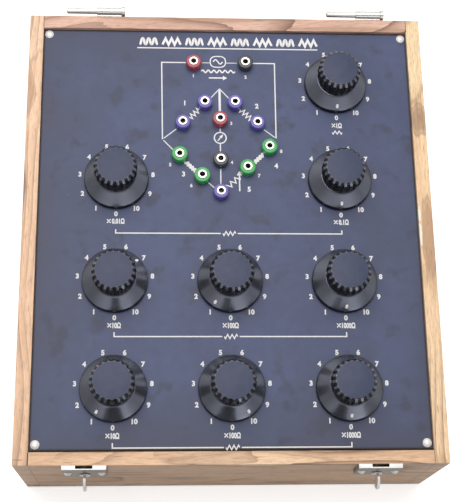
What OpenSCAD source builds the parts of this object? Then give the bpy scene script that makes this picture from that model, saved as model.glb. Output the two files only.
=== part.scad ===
// Inductance bridge: a wooden instrument case with an insulating panel that carries
// nine decade dials, thirteen 4 mm sockets, two lift-off hinge halves and two thumb-turn catches.
// Millimetres. The origin is the centre of the case's underside, +Z up, front at -Y.

/* [Case] */
// Outer width of the case
case_w = 316; // [300:1:340]
// Outer depth of the case, front to rear
case_d = 362; // [346:1:400]
// Outer height of the case, base to rim
case_h = 110; // [100:1:150]
// Thickness of the four walls
wall_t = 11; // [9:0.5:13]
// Thickness of the bottom board
bottom_t = 6; // [4:0.5:10]
// Width of the battens that carry the panel
batten_w = 9; // [8:0.5:12]
// Height of the battens
batten_h = 12; // [8:0.5:16]

/* [Panel] */
// Depth of the panel's face below the rim
panel_recess = 3; // [1:0.5:6]
// Thickness of the panel
panel_t = 5; // [4:0.5:8]
// Gap between the panel's edge and the walls
panel_gap = 0.3; // [0.2:0.1:0.6]
// Distance of each corner screw from the two inner wall faces
panel_screw_inset = 4.5; // [4:0.1:6]
// Head diameter of the corner screws
panel_screw_head_d = 6.6; // [5:0.1:7.5]
// Head height of the corner screws
panel_screw_head_h = 2; // [1.2:0.1:3]
// Shank diameter of the corner screws
panel_screw_d = 3.2; // [2.5:0.1:4]
// Shank length of the corner screws
panel_screw_l = 14; // [10:0.5:16]

/* [Dial layout] */
// Outer dial columns, from the side walls' inner faces
dial_side = 60; // [55:0.5:63]
// Rear row of dials, from the rear wall's inner face
dial_rear = 47.1; // [45:0.1:50]
// Front row of dials, from the front wall's inner face
dial_front = 45.1; // [43:0.1:48]

/* [Knob] */
// Diameter of the skirt at its base
skirt_d = 50; // [44:0.5:54]
// Diameter of the skirt where it meets the grip
skirt_top_d = 34; // [34:0.5:40]
// Height of the upright rim of the skirt
skirt_rim_h = 4.5; // [1.5:0.1:6]
// Height of the skirt's top above the panel
skirt_h = 11; // [9:0.5:14]
// Diameter of the fluted grip
grip_d = 33; // [30:0.5:33.5]
// Height of the knob's top above the panel
knob_h = 30; // [29:0.5:38]
// Chamfer round the knob's top
knob_chamfer = 2.5; // [0.5:0.1:3]
// Number of flutes round the grip
flute_count = 21; // [16:1:24]
// Diameter of the cutter for one flute
flute_d = 2.8; // [2.4:0.1:3.6]
// Depth of one flute
flute_depth = 1.5; // [0.5:0.1:1.6]
// Gap between the skirt and the panel
knob_gap = 0.4; // [0.3:0.1:1]
// Diameter of the pocket under the knob that clears the bush nut
pocket_d = 24; // [20:0.5:26]
// Diameter of the grub screw
grub_d = 3; // [2.5:0.1:4]
// Length of the grub screw
grub_l = 7; // [5:0.5:10]
// Height of the grub screw above the panel
grub_z = 16; // [14:0.5:20]

/* [Rotary switch] */
// Diameter of the spindle
spindle_d = 6.3; // [6:0.05:6.5]
// Height of the spindle's end above the panel
spindle_rise = 26; // [22:0.5:27]
// Radial running clearance of a spindle
running_clear = 0.05; // [0.02:0.01:0.1]
// Radial clearance of a fixed shank in its hole
fixed_clear = 0.1; // [0.05:0.01:0.2]
// End float of the rotor under its bush
end_float = 0.4; // [0.3:0.1:0.8]
// Diameter of the threaded bush
bush_d = 9.4; // [9:0.1:11]
// Diameter of the bush's flange under the panel
bush_flange_d = 16; // [14:0.5:20]
// Thickness of the bush's flange
bush_flange_h = 3; // [2:0.5:4]
// Distance across the corners of the bush nut
bush_nut_d = 16; // [14:0.5:18]
// Thickness of the bush nut
bush_nut_h = 3; // [2:0.5:4]
// Length of the bush that shows above its nut
bush_show = 1; // [0.5:0.5:1.5]
// Diameter of the switch deck
deck_d = 62; // [60:0.5:70]
// Thickness of the switch deck
deck_t = 4; // [3:0.5:6]
// Drop from the panel's underside to the deck
deck_drop = 18; // [16:0.5:24]
// Diameter of the two posts that carry the deck
post_d = 6; // [5:0.5:6]
// Distance of the posts from the deck's edge
post_edge = 0.8; // [0.5:0.1:1]
// Number of contact studs, for the digits from 0 to 10 or more
stud_count = 11; // [11:1:14]
// Diameter of the ring of studs
stud_ring_d = 40; // [36:0.5:41]
// Diameter of a stud's head
stud_head_d = 4; // [3.2:0.1:5]
// Height of a stud's head
stud_head_h = 1.5; // [1:0.1:2]
// Diameter of a stud's shank
stud_d = 2.6; // [2:0.1:3]
// Length of a stud's tail under the deck
stud_tail = 4; // [2:0.5:8]
// Diameter of the rotor's hub
hub_d = 12; // [10:0.5:15]
// Width of the wiper arm
wiper_w = 5; // [4:0.5:7]
// Thickness of the wiper arm
wiper_t = 1; // [0.6:0.1:1.5]
// Gap between the wiper and the studs
wiper_gap = 0.3; // [0.3:0.1:0.6]
// Diameter of a resistor bobbin's flanges
bobbin_d = 30; // [26:0.5:32]
// Diameter of a resistor bobbin over its winding
bobbin_wound_d = 26; // [18:0.5:28]
// Height of a resistor bobbin
bobbin_h = 24; // [16:0.5:28]
// Thickness of a bobbin's flanges
bobbin_flange_t = 2; // [1:0.5:3]

/* [Sockets] */
// Diameter of the coloured head
socket_head_d = 12; // [10:0.5:14]
// Height of the coloured head above the panel
socket_head_h = 6.5; // [3:0.5:8]
// Chamfer round the coloured head
socket_chamfer = 0.8; // [0.2:0.1:1.5]
// Diameter of the spigot that locates the head in the panel
socket_spigot_d = 8.4; // [7.6:0.1:9.4]
// Diameter of the metal ring on the head
socket_ring_d = 8; // [7:0.5:9]
// Height of the metal ring
socket_ring_h = 0.6; // [0.4:0.1:2]
// Outer diameter of the metal sleeve
socket_sleeve_d = 6; // [5.4:0.1:7]
// Bore of the sleeve, for a 4 mm plug
socket_bore_d = 4; // [4:0.05:4.2]
// Depth of the bore
socket_bore_depth = 24; // [18:0.5:28]
// Thickness of the sleeve's closed end
socket_end_t = 2; // [1:0.5:4]
// Distance across the corners of the socket nut
socket_nut_d = 11.5; // [10:0.5:13]
// Thickness of the socket nut
socket_nut_h = 4; // [2:0.5:5]

/* [Socket layout] */
// Centre line of the bridge diagram, from the middle of the case
bridge_x = -6; // [-12:0.5:0]
// Supply sockets, from the rear wall's inner face
supply_rear = 30; // [26:0.5:34]
// Distance between the supply sockets
supply_gap = 41.5; // [38:0.5:46]
// Inner ratio-arm sockets, in front of the supply sockets
ratio_drop = 35; // [32:0.5:38]
// Distance between the inner ratio-arm sockets
ratio_gap = 24; // [22:0.5:26]
// Step from an inner socket to its outer partner, the same along X and Y
arm_step = 17.5; // [16.5:0.5:19]
// Upper detector socket, in front of the supply sockets
detector_drop = 49.5; // [47:0.5:52]
// Distance between the detector sockets
detector_gap = 34.5; // [32:0.5:37]
// Lowest socket, in front of the supply sockets
earth_drop = 111; // [108:0.5:114]
// Inner sockets of the coil arms, the left one and the right one, below the lower detector socket
coil_drop = 13.5; // [11:0.5:14]
// Height of the right coil arm's sockets above the left ones
coil_lift = 7; // [4:0.5:9]
// Left coil arm's inner socket, from the centre line
coil_left = 14.5; // [13.5:0.5:16]
// Right coil arm's inner socket, from the centre line
coil_right = 21; // [19:0.5:23]

/* [Hinges] */
// Distance of each hinge's middle from the nearer side of the case
hinge_side = 52.5; // [43:0.5:58]
// Length of the knuckle
knuckle_l = 20; // [16:0.5:24]
// Diameter of the knuckle
knuckle_d = 6.5; // [6:0.1:8]
// Diameter of the hinge pin's free end
hinge_pin_d = 4.5; // [4:0.1:4.7]
// Diameter of the hinge pin in its knuckle
hinge_seat_d = 5; // [4.8:0.1:5.2]
// Length of the pin's free end
hinge_pin_free = 24.5; // [18:0.5:28]
// Length of the pin's head
pin_head_l = 3; // [2:0.5:4]
// Diameter of the pin's head
pin_head_d = 8; // [7.8:0.1:8.4]
// Chamfer at the pin's tip
pin_tip = 1; // [0.5:0.1:1.5]
// Thickness of the hinge leaf
leaf_t = 1.2; // [1:0.1:2]
// Height of the hinge leaf
leaf_h = 28; // [24:0.5:36]
// Cut in the leaf below the pin's axis, where the lid's knuckle turns
leaf_relief = 7; // [5:0.5:9]
// Distance of the leaf's screws from its edges
leaf_screw_edge = 6; // [5:0.5:7]

/* [Catches] */
// Distance of each catch's middle from the nearer side of the case
catch_side = 51; // [43:0.5:58]
// Width of the catch's body
catch_w = 32; // [30:0.5:36]
// Height of the catch's body
catch_h = 30; // [28:0.5:40]
// Depth of the catch's body
catch_depth = 3.5; // [3:0.1:5]
// Thickness of the catch's front sheet
catch_sheet = 1.2; // [0.8:0.1:1.5]
// Width of the slot that takes the lid's tongue
tongue_w = 12.4; // [12:0.1:13]
// Depth of that slot below the rim
tongue_depth = 27; // [26:0.5:27]
// Distance between the two screws of a catch
catch_screw_gap = 24.4; // [22:0.1:25]
// Depth of the screws below the rim
catch_screw_drop = 13; // [8:0.5:20]
// Depth of the thumb-turn's axis below the rim
turn_drop = 19; // [18:0.5:20]
// Diameter of the thumb-turn's spindle
turn_spindle_d = 5; // [4:0.1:6]
// Diameter of the thumb-turn's collar
turn_collar_d = 9; // [8:0.5:10]
// Thickness of the thumb-turn's collar
turn_collar_t = 1; // [0.6:0.1:1.5]
// Gap between the collar and the front sheet, and between the cam and the wood
turn_gap = 0.3; // [0.2:0.1:0.5]
// Diameter of the cam in the slot
cam_d = 11; // [9:0.5:11.5]
// Thickness of the thumb-turn's wing
wing_t = 2; // [1.5:0.1:3]
// Height of the wing
wing_h = 16; // [12:0.5:20]
// Reach of the wing from its collar
wing_reach = 11; // [10:0.5:14]

/* [Wood screws] */
// Head diameter of the hinge and catch screws
wood_screw_head_d = 5.6; // [4.5:0.1:6]
// Head height of the hinge and catch screws
wood_screw_head_h = 1.6; // [1:0.1:2]
// Shank diameter of the hinge and catch screws
wood_screw_d = 2.8; // [2.4:0.1:3.2]
// Length of the shank in the wood
wood_screw_l = 7; // [5:0.5:8]

/* [Hidden] */
$fn = 48;
// Overshoot of a cutter past the face that it opens
cut = 1;

inner_w = case_w - 2 * wall_t;
inner_d = case_d - 2 * wall_t;
panel_top = case_h - panel_recess;
panel_under = panel_top - panel_t;

// Dials in reading order: column from -1 to 1 and row from the rear, with the digit that each one shows
dial_column = [1, -1, 1, -1, 0, 1, -1, 0, 1];
dial_row = [0, 1, 1, 2, 2, 2, 3, 3, 3];
dial_digit = [0, 5, 0, 7, 1, 0, 1, 10, 0];
dial_rows = 4;
dial_numbers = [0 : len(dial_column) - 1];
// Angle from one digit to the next, clockwise seen from above, with 0 at the front
digit_pitch = 360 / stud_count;
function digit_angle(digit) = -90 - digit * digit_pitch;
dial_pitch_x = inner_w / 2 - dial_side;
dial_pitch_y = (inner_d - dial_rear - dial_front) / (dial_rows - 1);
function dial_place(i) = [
    dial_column[i] * dial_pitch_x,
    inner_d / 2 - dial_rear - dial_row[i] * dial_pitch_y
];

// Levels of the rotary switch
bush_top = panel_top + bush_nut_h + bush_show;
bush_bottom = panel_under - bush_flange_h;
deck_top = panel_under - deck_drop;
deck_bottom = deck_top - deck_t;
wiper_bottom = deck_top + stud_head_h + wiper_gap;
hub_top = bush_bottom - end_float;
spindle_top = panel_top + spindle_rise;
spindle_bottom = deck_bottom + end_float;
post_place = deck_d / 2 - post_edge - post_d / 2;
wiper_l = stud_ring_d / 2;
pocket_top = bush_top + end_float;

// Sockets, from the left and from the rear within each colour
supply_y = inner_d / 2 - supply_rear;
ratio_y = supply_y - ratio_drop;
detector_y = supply_y - detector_drop;
detector_low = detector_y - detector_gap;
earth_y = supply_y - earth_drop;
coil_y = detector_low - coil_drop;
red_sockets = [[bridge_x - supply_gap / 2, supply_y], [bridge_x, detector_y]];
black_sockets = [[bridge_x + supply_gap / 2, supply_y], [bridge_x, detector_low]];
violet_sockets = [
    [bridge_x - ratio_gap / 2, ratio_y],
    [bridge_x + ratio_gap / 2, ratio_y],
    [bridge_x - ratio_gap / 2 - arm_step, ratio_y - arm_step],
    [bridge_x + ratio_gap / 2 + arm_step, ratio_y - arm_step],
    [bridge_x, earth_y]
];
green_sockets = [
    [bridge_x - coil_left - arm_step, coil_y + arm_step],
    [bridge_x - coil_left, coil_y],
    [bridge_x + coil_right + arm_step, coil_y + coil_lift + arm_step],
    [bridge_x + coil_right, coil_y + coil_lift]
];
socket_places = concat(red_sockets, black_sockets, violet_sockets, green_sockets);
ring_top = panel_top + socket_head_h + socket_ring_h;

// Hinges: the pin's axis lies level with the rim, behind the rear wall
rear_face = case_d / 2;
hinge_x = case_w / 2 - hinge_side;
hinge_axis_y = rear_face + leaf_t + knuckle_d / 2;
hinge_l = hinge_pin_free + knuckle_l + pin_head_l;
knuckle_start = -hinge_l / 2 + hinge_pin_free;
leaf_screw_x = hinge_l / 2 - leaf_screw_edge;
leaf_screw_low = case_h - leaf_h + leaf_screw_edge;
leaf_screw_high = case_h - leaf_relief - leaf_screw_edge;

// Catches: the body stands on the front wall's face, level with the rim
front_face = -case_d / 2;
catch_x = case_w / 2 - catch_side;
catch_face = front_face - catch_depth;
catch_floor = case_h - catch_h;
turn_z = case_h - turn_drop;
cam_t = catch_depth - catch_sheet - 2 * turn_gap;

// Places one child at each of the given points, at height z
module at_each(points, z = 0)
    for (p = points)
        translate([p.x, p.y, z])
            children();

// Places a child's +Z along -Y, for what is fitted into the front wall
module facing_front()
    rotate([90, 0, 0])
        children();

// Places a child's +Z along +Y, for what is fitted into the rear wall
module facing_rear()
    rotate([-90, 0, 0])
        children();

// Places a child at each dial, turned so that its +X points at the digit shown there
module at_dial(i)
    translate([dial_place(i).x, dial_place(i).y, 0])
        rotate(digit_angle(dial_digit[i]))
            children();

panel_screw_places = [
    for (sx = [-1, 1], sy = [-1, 1])
        [sx * (inner_w / 2 - panel_screw_inset), sy * (inner_d / 2 - panel_screw_inset)]
];
dial_places = [for (i = dial_numbers) dial_place(i)];
catch_screw_places = [
    for (side = [-1, 1], end = [-1, 1])
        [side * catch_x + end * catch_screw_gap / 2, case_h - catch_screw_drop]
];
hinge_screw_places = [
    for (side = [-1, 1], end = [-1, 1], level = [leaf_screw_low, leaf_screw_high])
        [side * hinge_x + end * leaf_screw_x, level]
];

// A screw with a domed head, seated at z = 0 with its shank below
module domed_screw(head_d, head_h, shank_d, shank_l) {
    dome_r = (pow(head_d / 2, 2) + pow(head_h, 2)) / (2 * head_h);
    intersection() {
        translate([0, 0, head_h - dome_r])
            sphere(r = dome_r);
        cylinder(d = head_d, h = head_h);
    }
    translate([0, 0, -shank_l])
        cylinder(d = shank_d, h = shank_l);
}

// A wall that runs the whole depth of the case
module side_wall()
    translate([-wall_t / 2, -case_d / 2, 0])
        cube([wall_t, case_d, case_h]);

module left_wall()
    color("burlywood")
        translate([-case_w / 2 + wall_t / 2, 0, 0])
            side_wall();

module right_wall()
    color("burlywood")
        translate([case_w / 2 - wall_t / 2, 0, 0])
            side_wall();

// A wall that stands between the side walls, from y = 0 to y = wall_t
module cross_wall()
    translate([-inner_w / 2, 0, 0])
        cube([inner_w, wall_t, case_h]);

// Pilot holes for wood screws, drilled from z = 0 down, with a little room past the screw's end
module pilot_holes(points)
    at_each(points, -wood_screw_l - end_float)
        cylinder(d = wood_screw_d + 2 * fixed_clear, h = wood_screw_l + end_float + cut);

module front_wall()
    color("burlywood")
        difference() {
            translate([0, front_face, 0])
                cross_wall();
            translate([0, front_face, 0])
                facing_front()
                    pilot_holes(catch_screw_places);
        }

module rear_wall()
    color("burlywood")
        difference() {
            translate([0, rear_face - wall_t, 0])
                cross_wall();
            translate([0, rear_face, 0])
                facing_rear()
                    pilot_holes([for (p = hinge_screw_places) [p.x, -p.y]]);
        }

module bottom_board()
    color("tan")
        translate([-inner_w / 2, -inner_d / 2, 0])
            cube([inner_w, inner_d, bottom_t]);

// A batten along a side wall, drilled for the panel's corner screws
module side_batten(side)
    difference() {
        translate([side * (inner_w - batten_w) / 2 - batten_w / 2, -inner_d / 2, panel_under - batten_h])
            cube([batten_w, inner_d, batten_h]);
        at_each(panel_screw_places, panel_top - panel_screw_l - end_float)
            cylinder(d = panel_screw_d + 2 * fixed_clear, h = panel_screw_l);
    }

module left_batten()
    color("tan")
        side_batten(-1);

module right_batten()
    color("tan")
        side_batten(1);

// A batten along the front or the rear wall, between the side battens
module end_batten(side)
    translate([0, side * (inner_d - batten_w) / 2, panel_under - batten_h])
        translate([-inner_w / 2 + batten_w, -batten_w / 2, 0])
            cube([inner_w - 2 * batten_w, batten_w, batten_h]);

module front_batten()
    color("tan")
        end_batten(-1);

module rear_batten()
    color("tan")
        end_batten(1);

module panel()
    color("dimgray")
        difference() {
            translate([-inner_w / 2 + panel_gap, -inner_d / 2 + panel_gap, panel_under])
                cube([inner_w - 2 * panel_gap, inner_d - 2 * panel_gap, panel_t]);
            at_each(dial_places, panel_under - cut)
                cylinder(d = bush_d + 2 * fixed_clear, h = panel_t + 2 * cut);
            at_each(socket_places, panel_under - cut)
                cylinder(d = socket_spigot_d + 2 * fixed_clear, h = panel_t + 2 * cut);
            at_each(panel_screw_places, panel_under - cut)
                cylinder(d = panel_screw_d + 2 * fixed_clear, h = panel_t + 2 * cut);
        }

module panel_screws()
    color("silver")
        at_each(panel_screw_places, panel_top)
            domed_screw(panel_screw_head_d, panel_screw_head_h, panel_screw_d, panel_screw_l);

// Half section of a knob, as radius and height above the panel, with its pocket underneath
module knob_profile() {
    pocket_h = pocket_top - panel_top;
    polygon([
        [pocket_d / 2, knob_gap],
        [skirt_d / 2, knob_gap],
        [skirt_d / 2 - knob_gap, skirt_rim_h],
        [skirt_top_d / 2, skirt_h],
        [grip_d / 2, skirt_h],
        [grip_d / 2, knob_h - knob_chamfer],
        [grip_d / 2 - knob_chamfer, knob_h],
        [0, knob_h],
        [0, pocket_h],
        [pocket_d / 2, pocket_h]
    ]);
}

// Cutters for the flutes, just above the skirt
module flutes()
    for (i = [0 : flute_count - 1])
        rotate((i + 0.5) * 360 / flute_count)
            translate([(grip_d + flute_d) / 2 - flute_depth, 0, skirt_h + knob_gap])
                cylinder(d = flute_d, h = knob_h, $fn = 24);

// A knob turned so that its index points at the digit shown
module knob(i)
    color("black")
        at_dial(i)
            translate([0, 0, panel_top])
                difference() {
                    rotate_extrude($fn = 96)
                        knob_profile();
                    flutes();
                    cylinder(d = spindle_d + 2 * running_clear, h = spindle_rise + end_float);
                    translate([0, 0, grub_z])
                        rotate([0, -90, 0])
                            cylinder(d = grub_d + 2 * running_clear, h = grip_d);
                }

// A spindle with its hub and wiper arm, and the grub screw that holds the knob on it
module rotor(i)
    color("goldenrod")
        at_dial(i) {
            translate([0, 0, spindle_bottom])
                cylinder(d = spindle_d, h = spindle_top - spindle_bottom);
            translate([0, 0, wiper_bottom])
                cylinder(d = hub_d, h = hub_top - wiper_bottom);
            translate([0, -wiper_w / 2, wiper_bottom])
                cube([wiper_l, wiper_w, wiper_t]);
            translate([wiper_l, 0, wiper_bottom])
                cylinder(d = wiper_w, h = wiper_t);
            translate([-spindle_d / 2 - running_clear, 0, panel_top + grub_z])
                rotate([0, -90, 0])
                    cylinder(d = grub_d, h = grub_l);
        }

// Threaded bushes with their flange under the panel
module switch_bushes()
    color("goldenrod")
        at_each(dial_places)
            difference() {
                union() {
                    translate([0, 0, bush_bottom])
                        cylinder(d = bush_flange_d, h = bush_flange_h);
                    translate([0, 0, bush_bottom])
                        cylinder(d = bush_d, h = bush_top - bush_bottom);
                }
                translate([0, 0, bush_bottom - cut])
                    cylinder(d = spindle_d + 2 * running_clear, h = bush_top - bush_bottom + 2 * cut);
            }

module bush_nuts()
    color("silver")
        at_each(dial_places, panel_top)
            difference() {
                cylinder(d = bush_nut_d, h = bush_nut_h, $fn = 6);
                translate([0, 0, -cut])
                    cylinder(d = bush_d + 2 * running_clear, h = bush_nut_h + 2 * cut);
            }

// Places a child at each stud of a deck
module at_studs()
    for (digit = [0 : stud_count - 1])
        rotate(digit_angle(digit))
            translate([stud_ring_d / 2, 0, 0])
                children();

// Insulating decks, each hung under the panel by two posts
module switch_decks()
    color("saddlebrown")
        at_each(dial_places)
            difference() {
                union() {
                    translate([0, 0, deck_bottom])
                        cylinder(d = deck_d, h = deck_t);
                    for (side = [-1, 1])
                        translate([side * post_place, 0, deck_top])
                            cylinder(d = post_d, h = deck_drop);
                }
                translate([0, 0, deck_bottom - cut])
                    cylinder(d = spindle_d + 2 * running_clear, h = deck_t + 2 * cut);
                at_studs()
                    translate([0, 0, deck_bottom - cut])
                        cylinder(d = stud_d + 2 * fixed_clear, h = deck_t + 2 * cut);
            }

module contact_studs()
    color("gold")
        at_each(dial_places)
            at_studs() {
                translate([0, 0, deck_top])
                    cylinder(d = stud_head_d, h = stud_head_h);
                translate([0, 0, deck_bottom - stud_tail])
                    cylinder(d = stud_d, h = deck_t + stud_tail);
            }

// Wound resistor bobbins, one under each deck
module resistor_bobbins()
    color("peru")
        at_each(dial_places, deck_bottom - bobbin_h) {
            cylinder(d = bobbin_d, h = bobbin_flange_t);
            cylinder(d = bobbin_wound_d, h = bobbin_h);
            translate([0, 0, bobbin_h - bobbin_flange_t])
                cylinder(d = bobbin_d, h = bobbin_flange_t);
        }

// Coloured insulating head of a socket, with the spigot that locates it in the panel
module socket_head(place)
    translate([place.x, place.y, panel_top])
        difference() {
            rotate_extrude()
                polygon([
                    [0, -panel_t + end_float],
                    [socket_spigot_d / 2, -panel_t + end_float],
                    [socket_spigot_d / 2, 0],
                    [socket_head_d / 2, 0],
                    [socket_head_d / 2, socket_head_h - socket_chamfer],
                    [socket_head_d / 2 - socket_chamfer, socket_head_h],
                    [0, socket_head_h]
                ]);
            translate([0, 0, -panel_t - cut])
                cylinder(d = socket_sleeve_d + 2 * fixed_clear, h = panel_t + socket_head_h + 2 * cut);
        }

// Metal sleeves with a ring on top and a blind bore for the plug
module socket_sleeves()
    color("silver")
        at_each(socket_places, ring_top)
            difference() {
                union() {
                    translate([0, 0, -socket_ring_h])
                        cylinder(d = socket_ring_d, h = socket_ring_h);
                    translate([0, 0, -socket_bore_depth - socket_end_t])
                        cylinder(d = socket_sleeve_d, h = socket_bore_depth + socket_end_t);
                }
                translate([0, 0, -socket_bore_depth])
                    cylinder(d = socket_bore_d, h = socket_bore_depth + cut);
            }

module socket_nuts()
    color("silver")
        at_each(socket_places, panel_under - socket_nut_h)
            difference() {
                cylinder(d = socket_nut_d, h = socket_nut_h, $fn = 6);
                translate([0, 0, -cut])
                    cylinder(d = socket_sleeve_d + 2 * fixed_clear, h = socket_nut_h + 2 * cut);
            }

// Leaf and knuckle of a hinge half, in the hinge's own middle, drilled for its pin and screws
module hinge_half(side)
    color("silver")
        translate([side * hinge_x, 0, 0])
            difference() {
                union() {
                    translate([-hinge_l / 2, rear_face, case_h - leaf_h])
                        cube([hinge_l, leaf_t, leaf_h - leaf_relief]);
                    translate([knuckle_start, rear_face, case_h - leaf_h])
                        cube([knuckle_l, leaf_t, leaf_h]);
                    translate([knuckle_start, rear_face, case_h - knuckle_d / 2])
                        cube([knuckle_l, leaf_t + knuckle_d / 2, knuckle_d / 2]);
                    translate([knuckle_start, hinge_axis_y, case_h])
                        rotate([0, 90, 0])
                            cylinder(d = knuckle_d, h = knuckle_l);
                }
                translate([knuckle_start - cut, hinge_axis_y, case_h])
                    rotate([0, 90, 0])
                        cylinder(d = hinge_seat_d + 2 * running_clear, h = knuckle_l + 2 * cut);
                translate([-side * hinge_x, rear_face - cut, 0])
                    facing_rear()
                        at_each([for (p = hinge_screw_places) [p.x, -p.y]])
                            cylinder(d = wood_screw_d + 2 * fixed_clear, h = leaf_t + 2 * cut);
            }

module left_hinge()
    hinge_half(-1);

module right_hinge()
    hinge_half(1);

// Pins with a head against the knuckle's right end and a free end to its left
module hinge_pins()
    color("silver")
        for (side = [-1, 1])
            translate([side * hinge_x - hinge_l / 2, hinge_axis_y, case_h])
                rotate([0, 90, 0]) {
                    cylinder(d1 = hinge_pin_d - 2 * pin_tip, d2 = hinge_pin_d, h = pin_tip);
                    translate([0, 0, pin_tip])
                        cylinder(d = hinge_pin_d, h = hinge_pin_free);
                    translate([0, 0, hinge_pin_free])
                        cylinder(d = hinge_seat_d, h = knuckle_l + pin_head_l);
                    translate([0, 0, hinge_l - pin_head_l])
                        cylinder(d = pin_head_d, h = pin_head_l);
                }

module hinge_screws()
    color("silver")
        translate([0, rear_face + leaf_t, 0])
            facing_rear()
                at_each([for (p = hinge_screw_places) [p.x, -p.y]])
                    domed_screw(wood_screw_head_d, wood_screw_head_h, wood_screw_d, wood_screw_l);

// Body of a catch: a pressed box, open at the back and the top where the lid's tongue drops in
module catch_body(side)
    color("silver")
        difference() {
            translate([side * catch_x - catch_w / 2, catch_face, catch_floor])
                cube([catch_w, catch_depth, catch_h]);
            translate([side * catch_x - tongue_w / 2, catch_face + catch_sheet, case_h - tongue_depth])
                cube([tongue_w, catch_depth, tongue_depth + cut]);
            translate([side * catch_x, front_face, turn_z])
                facing_front()
                    cylinder(d = turn_spindle_d + 2 * running_clear, h = catch_depth + cut);
            translate([0, front_face + cut, 0])
                facing_front()
                    at_each(catch_screw_places)
                        cylinder(d = wood_screw_d + 2 * fixed_clear, h = catch_depth + 2 * cut);
        }

module left_catch()
    catch_body(-1);

module right_catch()
    catch_body(1);

module catch_screws()
    color("silver")
        translate([0, catch_face, 0])
            facing_front()
                at_each(catch_screw_places)
                    domed_screw(wood_screw_head_d, wood_screw_head_h, wood_screw_d, wood_screw_l);

// Outline of a wing: straight at its root, round at its end, reaching along +X
module wing_outline() {
    root = wing_reach - wing_h / 2;
    translate([0, -wing_h / 2])
        square([root, wing_h]);
    intersection() {
        translate([root, 0])
            circle(d = wing_h);
        translate([0, -wing_h / 2])
            square([wing_reach, wing_h]);
    }
}

// A thumb-turn, with its upright wing, collar and spindle and the cam behind the front sheet
module thumb_turn(side)
    color("silver")
        translate([side * catch_x, catch_face, turn_z])
            facing_front() {
                translate([0, 0, turn_gap])
                    cylinder(d = turn_collar_d, h = turn_collar_t);
                translate([-wing_t / 2, 0, turn_gap + turn_collar_t])
                    rotate([90, 0, 90])
                        linear_extrude(wing_t)
                            rotate(90)
                                wing_outline();
                translate([0, 0, -catch_sheet - turn_gap])
                    cylinder(d = turn_spindle_d, h = catch_sheet + 2 * turn_gap);
                translate([0, 0, -catch_sheet - turn_gap - cam_t])
                    intersection() {
                        cylinder(d = cam_d, h = cam_t);
                        translate([-cam_d / 2, -cam_d / 2, 0])
                            cube([cam_d, cam_d / 2 + turn_spindle_d / 2, cam_t]);
                    }
            }

module left_thumb_turn()
    thumb_turn(-1);

module right_thumb_turn()
    thumb_turn(1);

// The heads of one colour's sockets, each its own node
module socket_heads(name, places, shade)
    for (i = [0 : len(places) - 1])
        color(shade)
                socket_head(places[i]);

left_wall();
right_wall();
front_wall();
rear_wall();
bottom_board();
left_batten();
right_batten();
front_batten();
rear_batten();
panel();
panel_screws();
for (i = dial_numbers) knob(i);
for (i = dial_numbers) rotor(i);
switch_bushes();
bush_nuts();
switch_decks();
contact_studs();
resistor_bobbins();
socket_heads("red_socket_", red_sockets, "firebrick");
socket_heads("black_socket_", black_sockets, "black");
socket_heads("violet_socket_", violet_sockets, "slateblue");
socket_heads("green_socket_", green_sockets, "seagreen");
socket_sleeves();
socket_nuts();
left_hinge();
right_hinge();
hinge_pins();
hinge_screws();
left_catch();
right_catch();
catch_screws();
left_thumb_turn();
right_thumb_turn();
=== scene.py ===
import math

import bmesh
import bpy
from mathutils import Matrix, Vector


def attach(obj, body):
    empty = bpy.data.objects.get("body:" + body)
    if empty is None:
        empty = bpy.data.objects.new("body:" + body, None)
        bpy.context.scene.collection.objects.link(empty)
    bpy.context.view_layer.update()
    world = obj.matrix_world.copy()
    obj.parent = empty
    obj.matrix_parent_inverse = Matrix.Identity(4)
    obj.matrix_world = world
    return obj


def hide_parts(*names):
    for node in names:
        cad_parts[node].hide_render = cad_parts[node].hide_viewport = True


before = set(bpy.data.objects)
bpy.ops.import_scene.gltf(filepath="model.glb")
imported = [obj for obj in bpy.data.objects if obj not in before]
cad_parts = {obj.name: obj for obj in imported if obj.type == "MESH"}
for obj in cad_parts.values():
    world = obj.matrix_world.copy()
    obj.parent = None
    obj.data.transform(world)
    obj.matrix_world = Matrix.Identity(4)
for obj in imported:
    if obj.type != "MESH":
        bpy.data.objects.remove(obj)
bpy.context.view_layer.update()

MM = 0.001

# Sizes and places of the object, in millimetres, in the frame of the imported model
CASE_W, CASE_D, CASE_H, WALL = 316.0, 362.0, 110.0, 11.0
INNER_W, INNER_D = CASE_W - 2 * WALL, CASE_D - 2 * WALL
FRONT, REAR = -CASE_D / 2, CASE_D / 2
PANEL_TOP, PANEL_T = 107.0, 5.0
SIDES = ((-1, "left"), (1, "right"))
CORNERS = ((-1, -1), (-1, 1), (1, -1), (1, 1))
DIAL_PITCH_X, DIAL_PITCH_Y, DIAL_SHIFT = 87.0, 82.6, 1.0
DIAL_COLUMN = (1, -1, 1, -1, 0, 1, -1, 0, 1)
DIAL_ROW = (0, 1, 1, 2, 2, 2, 3, 3, 3)
DIAL_DIGIT = (0, 5, 0, 7, 1, 0, 1, 10, 0)
DIALS = [(c * DIAL_PITCH_X, (1.5 - r) * DIAL_PITCH_Y - DIAL_SHIFT) for c, r in zip(DIAL_COLUMN, DIAL_ROW)]
DIGITS = 11
DIGIT_STEP = 360.0 / DIGITS
SOCKETS = {
    "red": [(-26.75, 140.0), (-6.0, 90.5)],
    "black": [(14.75, 140.0), (-6.0, 56.0)],
    "violet": [(-18.0, 105.0), (6.0, 105.0), (-35.5, 87.5), (23.5, 87.5), (-6.0, 29.0)],
    "green": [(-38.0, 60.0), (-20.5, 42.5), (32.5, 67.0), (15.0, 49.5)],
}


def digit_angle(digit):
    """Direction of a digit from its dial's centre: nought in front, the others clockwise from there."""
    return math.radians(-90 - digit * DIGIT_STEP)


# Materials

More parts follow.
